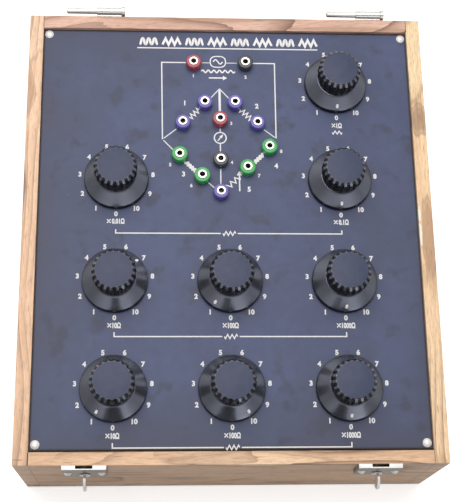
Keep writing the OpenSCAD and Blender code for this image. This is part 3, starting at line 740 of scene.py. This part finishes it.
CATCH_X, CATCH_W, CATCH_H, CATCH_DEPTH, CATCH_SHEET = 107.0, 32.0, 30.0, 3.5, 1.2
CATCH_CORNER, CATCH_EDGE, SLOT_HALF, SLOT_L, TURN_HOLE_R = 3.0, 0.6, 6.2, 27.0, 2.55
CATCH_FACE = FRONT - CATCH_DEPTH
TURN_Z = CASE_H - 19.0
COLLAR_R, COLLAR_LOW, COLLAR_TOP, COLLAR_ROUND = 4.0, 0.3, 1.3, 0.3
SPINDLE_R, CAM_R, CAM_TOP, CAM_LOW = 2.5, 5.5, -1.5, -3.2
WING_HALF_T, WING_R, WING_OUT, WING_FOOT = 1.0, 8.0, 3.0, 1.2
CATCH_SCREW_X, CATCH_SCREW_Z = 12.2, CASE_H - 13.0


def catch_mesh(cx):
    """A plate with a slot behind it for the lid's tongue, and a hole for the thumb-turn."""
    bm = bmesh.new()
    add_box(bm, (cx - CATCH_W / 2, CATCH_FACE, CASE_H - CATCH_H), (cx + CATCH_W / 2, FRONT, CASE_H))
    lower = [e for e in edges_along_y(bm, CATCH_DEPTH) if e.verts[0].co.z < (CASE_H - 1) * MM]
    round_edges(bm, lower, CATCH_CORNER, 6)
    facing = [e for e in bm.edges if all(v.co.y < (CATCH_FACE + 0.01) * MM for v in e.verts)]
    round_edges(bm, facing, CATCH_EDGE, 3)
    slot = bmesh.new()
    add_box(slot, (cx - SLOT_HALF, CATCH_FACE + CATCH_SHEET, CASE_H - SLOT_L),
            (cx + SLOT_HALF, FRONT + 1, CASE_H + 1))
    hole = bmesh.new()
    add_lathe(hole, rod(TURN_HOLE_R, -1.0, 5.0), along_y(cx, FRONT, TURN_Z, -1), 32)
    bm = cut_out(bm, [slot, hole])
    bm.normal_update()
    for face in bm.faces:
        # Painted shade: the top face keeps the bright finish, every other face takes the dark copy of the
        # nickel
        face.material_index = 0 if face.normal.z > 0.75 else 1
    return bm


def thumb_turn_mesh(cx):
    """Collar, spindle, cam and a rounded wing that stands upright."""
    bm = bmesh.new()
    here = along_y(cx, CATCH_FACE, TURN_Z, -1)
    collar = [(0.0, COLLAR_LOW), (COLLAR_R, COLLAR_LOW)]
    collar += arc(COLLAR_R - COLLAR_ROUND, COLLAR_TOP - COLLAR_ROUND, COLLAR_ROUND, 0, 90, 3)
    add_lathe(bm, collar + [(0.0, COLLAR_TOP)], here, 40)
    add_lathe(bm, rod(SPINDLE_R, CAM_TOP, 0.6), here, 32)
    add_lathe(bm, rod(CAM_R, CAM_LOW, CAM_TOP), here, 40, 1)
    neck = [(0.0, 4.2), (1.2, 5.2), (2.4, 7.6)]
    outline = [(u, -v) for u, v in neck] + arc(WING_OUT, 0.0, WING_R, -84, 84, 14) + neck[::-1]
    wing = [(CATCH_FACE - WING_FOOT - u, TURN_Z + v) for u, v in outline]
    for face in add_prism(bm, wing, cx - WING_HALF_T, cx + WING_HALF_T):
        face.material_index = 1
    return bm


for side, name in SIDES:
    cx = side * CATCH_X
    piece(name + "_catch_body", catch_mesh(cx), ["bright", "nickel_shade"], [name + "_catch"])
    piece(name + "_wing", thumb_turn_mesh(cx), ["bright", "nickel"], [name + "_thumb_turn"],
          name + "_turn", bevel=0.3)
catch_screws = []
for side, end in CORNERS:
    place = along_y(side * CATCH_X + end * CATCH_SCREW_X, CATCH_FACE, CATCH_SCREW_Z, -1)
    catch_screws.append(screw_mesh(place, CATCH_SCREW, 25 + 50 * end + 70 * side))
piece("catch_fixings", merge(catch_screws), ["bright"], ["catch_screws"])


# Hinge halves on the rear wall

HINGE_X, KNUCKLE_L, KNUCKLE_R, PIN_FREE, PIN_HEAD = 105.5, 20.0, 3.25, 24.5, 3.0
LEAF, LEAF_H, LEAF_CORNER, RELIEF = 1.2, 28.0, 2.0, 7.0
STRAP_LOW, STRAP_PROUD, STRAP_EDGE = 10.0, 0.04, 0.4
HINGE_L = PIN_FREE + KNUCKLE_L + PIN_HEAD
HINGE_LOW = CASE_H - LEAF_H
AXIS_Y = REAR + LEAF + KNUCKLE_R
PIN_R, PIN_HELD_R, PIN_HEAD_R = 2.25, 2.5, 4.0
HINGE_SCREW_INSET = 6.0


def hinge_mesh(start):
    """A leaf on the wall, and its sheet rolled round the pin as a knuckle."""
    bm = bmesh.new()
    add_box(bm, (start, REAR, HINGE_LOW), (start + HINGE_L, REAR + LEAF, CASE_H - RELIEF))
    round_edges(bm, edges_along_y(bm, LEAF), LEAF_CORNER, 5)
    low, proud = HINGE_LOW + STRAP_LOW, REAR + LEAF + STRAP_PROUD
    outline = [(REAR, low), (proud - STRAP_EDGE, low), (proud, low + STRAP_EDGE), (proud, CASE_H - KNUCKLE_R)]
    outline += arc(AXIS_Y, CASE_H, KNUCKLE_R, -90, 180, 18) + [(REAR, CASE_H)]
    add_prism(bm, outline, start + PIN_FREE, start + PIN_FREE + KNUCKLE_L)
    bm.normal_update()
    for face in bm.faces:
        # Painted shade: faces that look forward, to the wall under the knuckle, take the dark copy of the
        # nickel
        face.material_index = 1 if face.normal.y < -0.85 else 0
    return bm


def pin_profile():
    """A pin with a tapered free end, a part held in the knuckle and a rounded head."""
    head = PIN_FREE + KNUCKLE_L
    return [(0.0, 0.0), (PIN_R - 1.0, 0.0), (PIN_R, 1.0), (PIN_R, PIN_FREE), (PIN_HELD_R, PIN_FREE),
            (PIN_HELD_R, head), (PIN_HEAD_R - 0.2, head), (PIN_HEAD_R, head + 0.2),
            (PIN_HEAD_R, HINGE_L - 0.6), (PIN_HEAD_R - 0.4, HINGE_L - 0.15), (PIN_HEAD_R - 1.0, HINGE_L),
            (0.0, HINGE_L)]


pins = bmesh.new()
for side, name in SIDES:
    start = side * HINGE_X - HINGE_L / 2
    piece(name + "_hinge_half", hinge_mesh(start), ["nickel_x", "nickel_shade"], [name + "_hinge"],
          bevel=0.25)
    add_lathe(pins, pin_profile(), along_x(start, AXIS_Y, CASE_H), 40)
bmesh.ops.recalc_face_normals(pins, faces=pins.faces)
# Painted shade: the forward-facing strip of each pin takes the dark copy of the nickel
for face in pins.faces:
    face.material_index = 1 if face.normal.y < -0.9 else 0
piece("pins", pins, ["nickel_x", "nickel_shade"], ["hinge_pins"])
hinge_screws = []
for side, end in CORNERS:
    for z in (HINGE_LOW + HINGE_SCREW_INSET, CASE_H - RELIEF - HINGE_SCREW_INSET):
        place = along_y(side * HINGE_X + end * (HINGE_L / 2 - HINGE_SCREW_INSET), REAR + LEAF, z, 1)
        hinge_screws.append(screw_mesh(place, HINGE_SCREW, 40 + 30 * end + z))
piece("hinge_fixings", merge(hinge_screws), ["nickel"], ["hinge_screws"])


# Printed legend, a thin layer on the panel

INK_Z, INK_T, SECOND_LAYER = PANEL_TOP - 0.02, 0.06, 0.012
CAPITAL = 0.72
BOLD, LESS_BOLD = 0.052, 0.04


def glyphs(text, height, bold):
    """A flat mesh of a text, centred, with its capital height given in millimetres."""
    curve = bpy.data.curves.new("glyphs", "FONT")
    curve.body = text
    curve.align_x = "CENTER"
    curve.resolution_u = 4
    curve.offset = bold
    obj = add_object("glyphs", curve)
    bpy.context.view_layer.update()
    data = bpy.data.meshes.new_from_object(obj.evaluated_get(bpy.context.evaluated_depsgraph_get()))
    bm = bmesh.new()
    bm.from_mesh(data)
    bpy.data.meshes.remove(data)
    bpy.data.objects.remove(obj)
    bpy.data.curves.remove(curve)
    ys = [v.co.y for v in bm.verts]
    middle = CAPITAL / 2 if text.isdigit() else (min(ys) + max(ys)) / 2
    scale = height * MM / CAPITAL
    bmesh.ops.translate(bm, verts=bm.verts, vec=(0, -middle, 0))
    bmesh.ops.scale(bm, verts=bm.verts, vec=(scale, scale, scale))
    return bm


def print_on_panel(name, bm, lift=0.0):
    """Gives a flat mesh the thickness of the ink and puts it on the panel."""
    bmesh.ops.remove_doubles(bm, verts=bm.verts, dist=1e-8)
    bmesh.ops.recalc_face_normals(bm, faces=bm.faces)
    made = bmesh.ops.extrude_face_region(bm, geom=list(bm.faces))
    top = [v for v in made["geom"] if isinstance(v, bmesh.types.BMVert)]
    for v in bm.verts:
        v.co.z = (INK_Z + lift) * MM
    for v in top:
        v.co.z = (INK_Z + INK_T + lift) * MM
    piece(name, bm, ["ink"])


def stamp(target, source, x, y):
    """Copies a flat mesh into another one at a place on the panel."""
    data = bpy.data.meshes.new("stamp")
    source.to_mesh(data)
    data.transform(Matrix.Translation((x * MM, y * MM, 0)))
    target.from_mesh(data)
    bpy.data.meshes.remove(data)


def ribbon(bm, points, width, closed=False):
    """A flat line of one width through points, mitred at its corners."""
    count = len(points)
    sides = []
    for i, (x, y) in enumerate(points):
        before = points[(i - 1) % count] if closed or i > 0 else None
        after = points[(i + 1) % count] if closed or i < count - 1 else None
        normals = []
        for a, b in ((before, (x, y)), ((x, y), after)):
            if a and b:
                length = math.hypot(b[0] - a[0], b[1] - a[1])
                normals.append(Vector((-(b[1] - a[1]) / length, (b[0] - a[0]) / length)))
        normal = sum(normals, Vector((0, 0))).normalized()
        reach = width / 2 / max(0.4, normal.dot(normals[0]))
        sides.append([bm.verts.new(((x + s * reach * normal.x) * MM, (y + s * reach * normal.y) * MM, 0))
                      for s in (1, -1)])
    for i in range(count if closed else count - 1):
        a, b = sides[i], sides[(i + 1) % count]
        bm.faces.new((a[0], b[0], b[1], a[1]))


def between(a, b, t, off=0.0):
    """The point at share t from a to b, moved sideways."""
    dx, dy = b[0] - a[0], b[1] - a[1]
    length = math.hypot(dx, dy)
    return (a[0] + dx * t - dy / length * off, a[1] + dy * t + dx / length * off)


def clear_ends(a, b, gap_a, gap_b):
    """A line from a to b, stopped short of each end."""
    length = math.hypot(b[0] - a[0], b[1] - a[1])
    return between(a, b, gap_a / length), between(a, b, 1 - gap_b / length)


def zigzag(bm, a, b, teeth, height, width):
    """The sign of a resistor, from a to b."""
    peaks = [between(a, b, (k + 0.5) / teeth, height * (1 if k % 2 else -1)) for k in range(teeth)]
    ribbon(bm, [a] + peaks + [b], width)


def sine(x, y, length, height, waves):
    """Points of a train of waves that starts at a place and runs to the right."""
    count = 20 * waves
    return [(x + length * k / count, y + height * math.sin(2 * math.pi * waves * k / count))
            for k in range(count + 1)]


# Digits round each dial
DIGIT_RING, DIGIT_H = 28.5, 3.7
numbers = [glyphs(str(d), DIGIT_H, BOLD) for d in range(DIGITS)]
for i, (x, y) in enumerate(DIALS):
    bm = bmesh.new()
    for d in range(DIGITS):
        a = digit_angle(d)
        stamp(bm, numbers[d], x + DIGIT_RING * math.cos(a), y + DIGIT_RING * math.sin(a))
    print_on_panel("dial_numbers_%d" % (i + 1), bm)

# Multiplier in front of each dial, with its cross drawn by lines
MULTIPLIERS = ("1Ω", "0.01Ω", "0.1Ω", "10Ω", "100Ω", "1000Ω", "10Ω", "100Ω", "1000Ω")
MULTIPLIER_H, MULTIPLIER_Y, FIRST_MULTIPLIER_Y, CONDENSED = 3.9, -34.5, -35.3, 0.72
CROSS_W, CROSS_HALF_H, CROSS_GAP, CROSS_LINE = 2.7, 1.55, 0.9, 0.85
bm = bmesh.new()
for i, (x, y) in enumerate(DIALS):
    word = glyphs(MULTIPLIERS[i], MULTIPLIER_H, BOLD)
    bmesh.ops.scale(word, verts=word.verts, vec=(CONDENSED, 1.0, 1.0))
    left, right = (f(v.co.x for v in word.verts) / MM for f in (min, max))
    row = y + (FIRST_MULTIPLIER_Y if i == 0 else MULTIPLIER_Y)
    start = x - (CROSS_W + CROSS_GAP + right - left) / 2
    middle = start + CROSS_W / 2
    stamp(bm, word, start + CROSS_W + CROSS_GAP - left, row)
    word.free()
    ribbon(bm, [(start, row - CROSS_HALF_H), (start + CROSS_W, row + CROSS_HALF_H)], CROSS_LINE)
    for end in (-1, 1):
        ribbon(bm, [(middle - end * 0.42, row + end * 0.48),
                    (middle - end * CROSS_W / 2, row + end * CROSS_HALF_H)], CROSS_LINE)
print_on_panel("multipliers", bm)

# The bracket that ties each row of dials together, its resistor sign, and the sign of the dial on its own
LINE = 0.95
BRACKETS = ((-3.9, 3.0), (-85.4, 3.4), (-168.2, 3.6))
BRACKET_GAP = 6.5
bm = bmesh.new()
for y, tick in BRACKETS:
    for side in (-1, 1):
        x = side * DIAL_PITCH_X
        ribbon(bm, [(x, y + tick), (x, y), (side * BRACKET_GAP, y)], LINE)
    zigzag(bm, (-5.0, y), (5.0, y), 6, 1.6, 0.85)
zigzag(bm, (83.0, 81.5), (91.0, 81.5), 5, 1.3, 0.8)
print_on_panel("row_brackets", bm)

# Bridge diagram
VIOLET, GREEN = SOCKETS["violet"], SOCKETS["green"]
APEX, LEFT_NODE, RIGHT_NODE = (-6.1, 118.7), (-51.5, 74.4), (38.2, 76.0)
MIDDLE_X, LEAD_Y = -6.0, 141.7
SOURCE, METER, METER_R = (-7.1, 142.7), (-6.0, 76.0), 4.7
WAVES, WAVES_L, ARROW_Y = (-20.5, 134.1), 27.0, 128.3
SLIDER_X = 8.6
ARM_CLEAR, ZIGZAG_CLEAR, NODE_CLEAR = 6.6, 6.4, 1.2


def draw_arms(bm):
    """The diamond between the sockets: leads, plain arms, the middle line and the arms with their signs."""
    ribbon(bm, [(-33.0, LEAD_Y), (-52.3, LEAD_Y), LEFT_NODE], LINE)
    ribbon(bm, [(21.0, LEAD_Y), (38.6, LEAD_Y), RIGHT_NODE], LINE)
    for a, b in ((LEFT_NODE, VIOLET[2]), (LEFT_NODE, GREEN[0]), (APEX, VIOLET[0]), (APEX, VIOLET[1]),
                 (RIGHT_NODE, VIOLET[3]), (GREEN[1], VIOLET[4])):
        ribbon(bm, clear_ends(a, b, ARM_CLEAR if a in GREEN else NODE_CLEAR, ARM_CLEAR), 0.8)
    ribbon(bm, [APEX, (MIDDLE_X, 97.0)], 1.9)
    for top, low in ((83.9, 81.4), (70.6, 62.6), (49.4, 35.6)):
        ribbon(bm, [(MIDDLE_X, top), (MIDDLE_X, low)], LINE)
    for a, b in ((VIOLET[0], VIOLET[2]), (VIOLET[1], VIOLET[3])):
        zigzag(bm, *clear_ends(a, b, ZIGZAG_CLEAR, ZIGZAG_CLEAR), 7, 2.0, 0.9)
    for a, b in ((GREEN[0], GREEN[1]), (GREEN[2], GREEN[3])):
        zigzag(bm, *clear_ends(a, b, ARM_CLEAR, ARM_CLEAR), 9, 0.5, 2.5)
    zigzag(bm, *clear_ends(GREEN[3], VIOLET[4], ARM_CLEAR, ARM_CLEAR), 7, 2.0, 0.9)


def draw_source(bm):
    """Alternating source: an oval with a sine, leads to its sockets, waves and an arrow's shaft."""
    oval = [(SOURCE[0] + 6.2 * blunt(math.cos(math.radians(a)), 0.7),
             SOURCE[1] + 4.9 * blunt(math.sin(math.radians(a)), 0.8)) for a in range(0, 360, 12)]
    ribbon(bm, oval, 0.9, True)
    ribbon(bm, sine(SOURCE[0] - 3.8, SOURCE[1], 7.6, 1.9, 1), 1.0)
    for start, end in ((-20.0, -13.7), (-0.6, 8.2)):
        ribbon(bm, [(start, LEAD_Y), (end, LEAD_Y)], 0.6)
    ribbon(bm, sine(*WAVES, WAVES_L, 1.1, 6), 1.15)
    ribbon(bm, [(-14.5, ARROW_Y), (-3.0, ARROW_Y)], 1.1)


def draw_detector(bm):
    """A meter's circle with its needle."""
    ribbon(bm, arc(*METER, METER_R, 0, 348, 29), 1.0, True)
    ribbon(bm, [(METER[0] - 1.9, METER[1] - 2.5), (METER[0] + 0.7, METER[1] + 0.9)], 0.9)


bm = bmesh.new()
draw_arms(bm)
draw_source(bm)
draw_detector(bm)
print_on_panel("bridge_diagram", bm)

# Filled arrow heads, and the arrow across the variable arm, in a layer of their own
ARROWS = (
    ((0.2, ARROW_Y), (-3.2, ARROW_Y), 2.0),
    ((METER[0] + 2.4, METER[1] + 3.1), (METER[0] + 0.3, METER[1] + 0.4), 1.3),
    ((SLIDER_X, 48.0), (SLIDER_X, 44.2), 2.1),
)
bm = bmesh.new()
for tip, back, half in ARROWS:
    wings = between(back, tip, 0.0, half), between(back, tip, 0.0, -half)
    bm.faces.new([bm.verts.new((x * MM, y * MM, 0)) for x, y in (tip, *wings)])
ribbon(bm, [(SLIDER_X, 31.0), (SLIDER_X, 44.0)], 1.1)
print_on_panel("diagram_arrows", bm, SECOND_LAYER)

# A row of coil and resistor signs over a plain rule
SIGNS, SIGN_W, SIGN_TURNS, SIGN_LINE = 8, 14.6, 3, 1.9
ROW_LEFT, ROW_RIGHT, ROW_LOW, ROW_H, RULE_Y = -71.0, 74.0, 157.0, 7.0, 154.6
SIGN_PITCH = (ROW_RIGHT - ROW_LEFT + 2.6) / SIGNS


def coil_sign(x):
    """Points of a winding drawn as a row of round waves."""
    count = SIGN_TURNS * 16
    waves = [blunt(math.cos(2 * math.pi * SIGN_TURNS * k / count), 0.6) for k in range(count + 1)]
    middle, height = ROW_LOW + ROW_H / 2, ROW_H / 2 - 0.8
    return [(x + SIGN_W * k / count, middle - height * c) for k, c in enumerate(waves)]


def resistor_sign(x):
    """Points of a row of teeth."""
    step = SIGN_W / SIGN_TURNS
    points = [(x, ROW_LOW + 0.7)]
    for n in range(SIGN_TURNS):
        points += [(x + (n + 0.5) * step, ROW_LOW + ROW_H - 0.8), (x + (n + 1) * step, ROW_LOW + 0.7)]
    return points


bm = bmesh.new()
for n in range(SIGNS):
    sign = resistor_sign if n % 2 else coil_sign
    ribbon(bm, sign(ROW_LEFT + n * SIGN_PITCH + 0.9), SIGN_LINE)
print_on_panel("sign_row", bm)
bm = bmesh.new()
ribbon(bm, [(ROW_LEFT - 1, RULE_Y), (ROW_RIGHT, RULE_Y)], 1.0)
print_on_panel("sign_rule", bm)

# Plain digits with their places and heights: small ones at the terminals, larger ones at the arms
PLAIN_DIGITS = (
    ("1", -26.9, 130.2, 2.7), ("2", 15.0, 129.4, 2.7), ("3", 2.9, 88.6, 2.6), ("4", 2.9, 55.2, 2.6),
    ("5", -45.4, 53.0, 2.8), ("6", -29.0, 35.6, 2.8), ("7", 24.0, 44.2, 2.8), ("8", 41.9, 65.0, 2.8),
    ("1", -33.9, 106.0, 4.0), ("2", 23.5, 103.9, 4.0), ("3", -35.0, 45.2, 4.0), ("4", 37.7, 52.6, 4.0),
    ("5", 16.0, 32.8, 4.0),
)
bm = bmesh.new()
for text, x, y, height in PLAIN_DIGITS:
    word = glyphs(text, height, LESS_BOLD)
    stamp(bm, word, x, y)
    word.free()
print_on_panel("terminal_numbers", bm)


# Finishes of the CAD nodes that stay

KEPT = {
    "panel": ["panel"],
    "nickel": ["bush_nuts", "socket_nuts"],
    "brass": ["switch_bushes", "contact_studs"] + ["rotor_%d" % (i + 1) for i in range(len(DIALS))],
    "deck": ["switch_decks"],
    "bobbin": ["resistor_bobbins"],
    "inner_wood": ["bottom_board", "left_batten", "right_batten", "front_batten", "rear_batten"],
}
for key, names in KEPT.items():
    for name in names:
        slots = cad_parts[name].data.materials
        slots.clear()
        slots.append(MATERIAL[key])


# Floor, light and camera, in metres

FLOOR_SIZE, FLOOR_Z = 50.0, -0.0005
FLOOR_DARK, FLOOR_WHITE, FLOOR_GLOW = (0.14, 0.14, 0.14), (0.97, 0.97, 0.97), 0.50
CARD_Y = -0.5
CARD = [(-0.250, 0.0), (0.080, 0.0), (0.070, 0.255), (0.020, 0.295), (0.016, 0.365), (-0.160, 0.365),
        (-0.165, 0.295), (-0.243, 0.255)]

# A floor that is white to the camera and in reflections, and throws little light back on the object
floor = Material("floor")
path = floor.add("LightPath").outputs
mirrored = floor.math("MAXIMUM", path["Is Glossy Ray"], path["Is Transmission Ray"])
seen = floor.math("MAXIMUM", path["Is Camera Ray"], mirrored)
glow = floor.times(path["Is Camera Ray"], FLOOR_GLOW)
floor.set(Base_Color=floor.mix(seen, FLOOR_DARK, FLOOR_WHITE), Roughness=0.9, Specular_IOR_Level=0.0,
          Emission_Color=(1.0, 1.0, 1.0, 1.0), Emission_Strength=glow)
bm = bmesh.new()
bmesh.ops.create_grid(bm, x_segments=2, y_segments=2, size=FLOOR_SIZE)
data = mesh_from(bm, "floor")
data.materials.append(floor.data)
ground = add_object("floor", data)
ground.location.z = FLOOR_Z

# A card in front that only reflections see, for the dark part of the room there
card = bpy.data.meshes.new("card")
card.from_pydata([(x, CARD_Y, z) for x, z in CARD], [], [tuple(range(len(CARD)))])
card.materials.append(MATERIAL["hole"])
flag = add_object("card", card)
flag.visible_camera = flag.visible_diffuse = flag.visible_shadow = flag.visible_transmission = False

# The room by direction: brighter in front, behind and to the right, dark low down in front, dim overhead
FRONT_LIGHT, REAR_LIGHT, PANE_LIGHT, OVERHEAD_LIGHT = 0.68, 0.45, 1.4, 0.3
WARM, COOL = (1.02, 1.0, 0.97), (1.0, 1.0, 1.02)
world = bpy.data.worlds.new("studio")
world.use_nodes = True
room = Nodes(world.node_tree)
x, y, z = room.axes(room.add("TexCoord").outputs["Generated"])
front = room.levels(y, -0.42, -0.88)
rear = room.levels(y, 0.15, 0.70)
level = room.plus(room.levels(x, -0.1, 0.5, 0.42, 0.62), room.times(front, FRONT_LIGHT))
level = room.plus(level, room.times(rear, REAR_LIGHT))
low = room.times(room.levels(z, 0.32, 0.10), room.levels(y, -0.20, -0.60, 0.0, 0.85))
level = room.times(level, room.minus(1.0, low))
# One bright pane, low in front on the right, that edges catch
pane_w = room.times(room.levels(x, 0.16, 0.24), room.levels(x, 0.66, 0.58))
pane_h = room.times(room.levels(z, 0.06, 0.11), room.levels(z, 0.28, 0.23))
pane = room.times(room.times(pane_w, pane_h), room.levels(y, -0.3, -0.5))
level = room.plus(level, room.times(pane, PANE_LIGHT))
overhead = room.levels(z, 0.5, 0.8)
level = room.plus(room.times(level, room.minus(1.0, overhead)), room.times(overhead, OVERHEAD_LIGHT))
cool = room.math("MAXIMUM", front, room.levels(x, 0.2, 0.8))
background = room.tree.nodes["Background"].inputs
room.put(background["Color"], room.mix(cool, WARM, COOL))
room.put(background["Strength"], level)
bpy.context.scene.world = world

# One wide, soft lamp above and behind
LAMP_PLACE, LAMP_TARGET, LAMP_SIZE, LAMP_POWER = (-0.2, 0.45, 1.7), (0.0, 0.0, 0.1), 1.6, 22.5
lamp_data = bpy.data.lights.new("top", "AREA")
lamp_data.shape = "SQUARE"
lamp_data.size = LAMP_SIZE
lamp_data.energy = LAMP_POWER
lamp_data.color = (1.0, 0.97, 0.93)
lamp = add_object("top", lamp_data)
lamp.location = LAMP_PLACE
lamp.rotation_euler = (Vector(LAMP_TARGET) - Vector(LAMP_PLACE)).to_track_quat("-Z", "Y").to_euler()
lamp.visible_camera = False

# The camera fitted to the photograph: its place, and the directions right, down and ahead in its view
CAMERA_PLACE = (-0.054261, -0.311726, 0.980152)
CAMERA_RIGHT = Vector((0.998390, -0.014527, 0.054825))
CAMERA_DOWN = Vector((0.003702, -0.947893, -0.318568))
CAMERA_AHEAD = Vector((0.056596, 0.318258, -0.946313))
SENSOR_H, LENS = 36.0, 86.632
camera_data = bpy.data.cameras.new("camera")
camera_data.sensor_fit = "VERTICAL"
camera_data.sensor_height = SENSOR_H
camera_data.lens = LENS
camera_data.clip_start = 0.01
camera = add_object("camera", camera_data)
turn = Matrix((CAMERA_RIGHT, -CAMERA_DOWN, -CAMERA_AHEAD)).transposed().to_4x4()
camera.matrix_world = Matrix.Translation(CAMERA_PLACE) @ turn
bpy.context.scene.camera = camera
bpy.context.scene.view_settings.view_transform = "Standard"
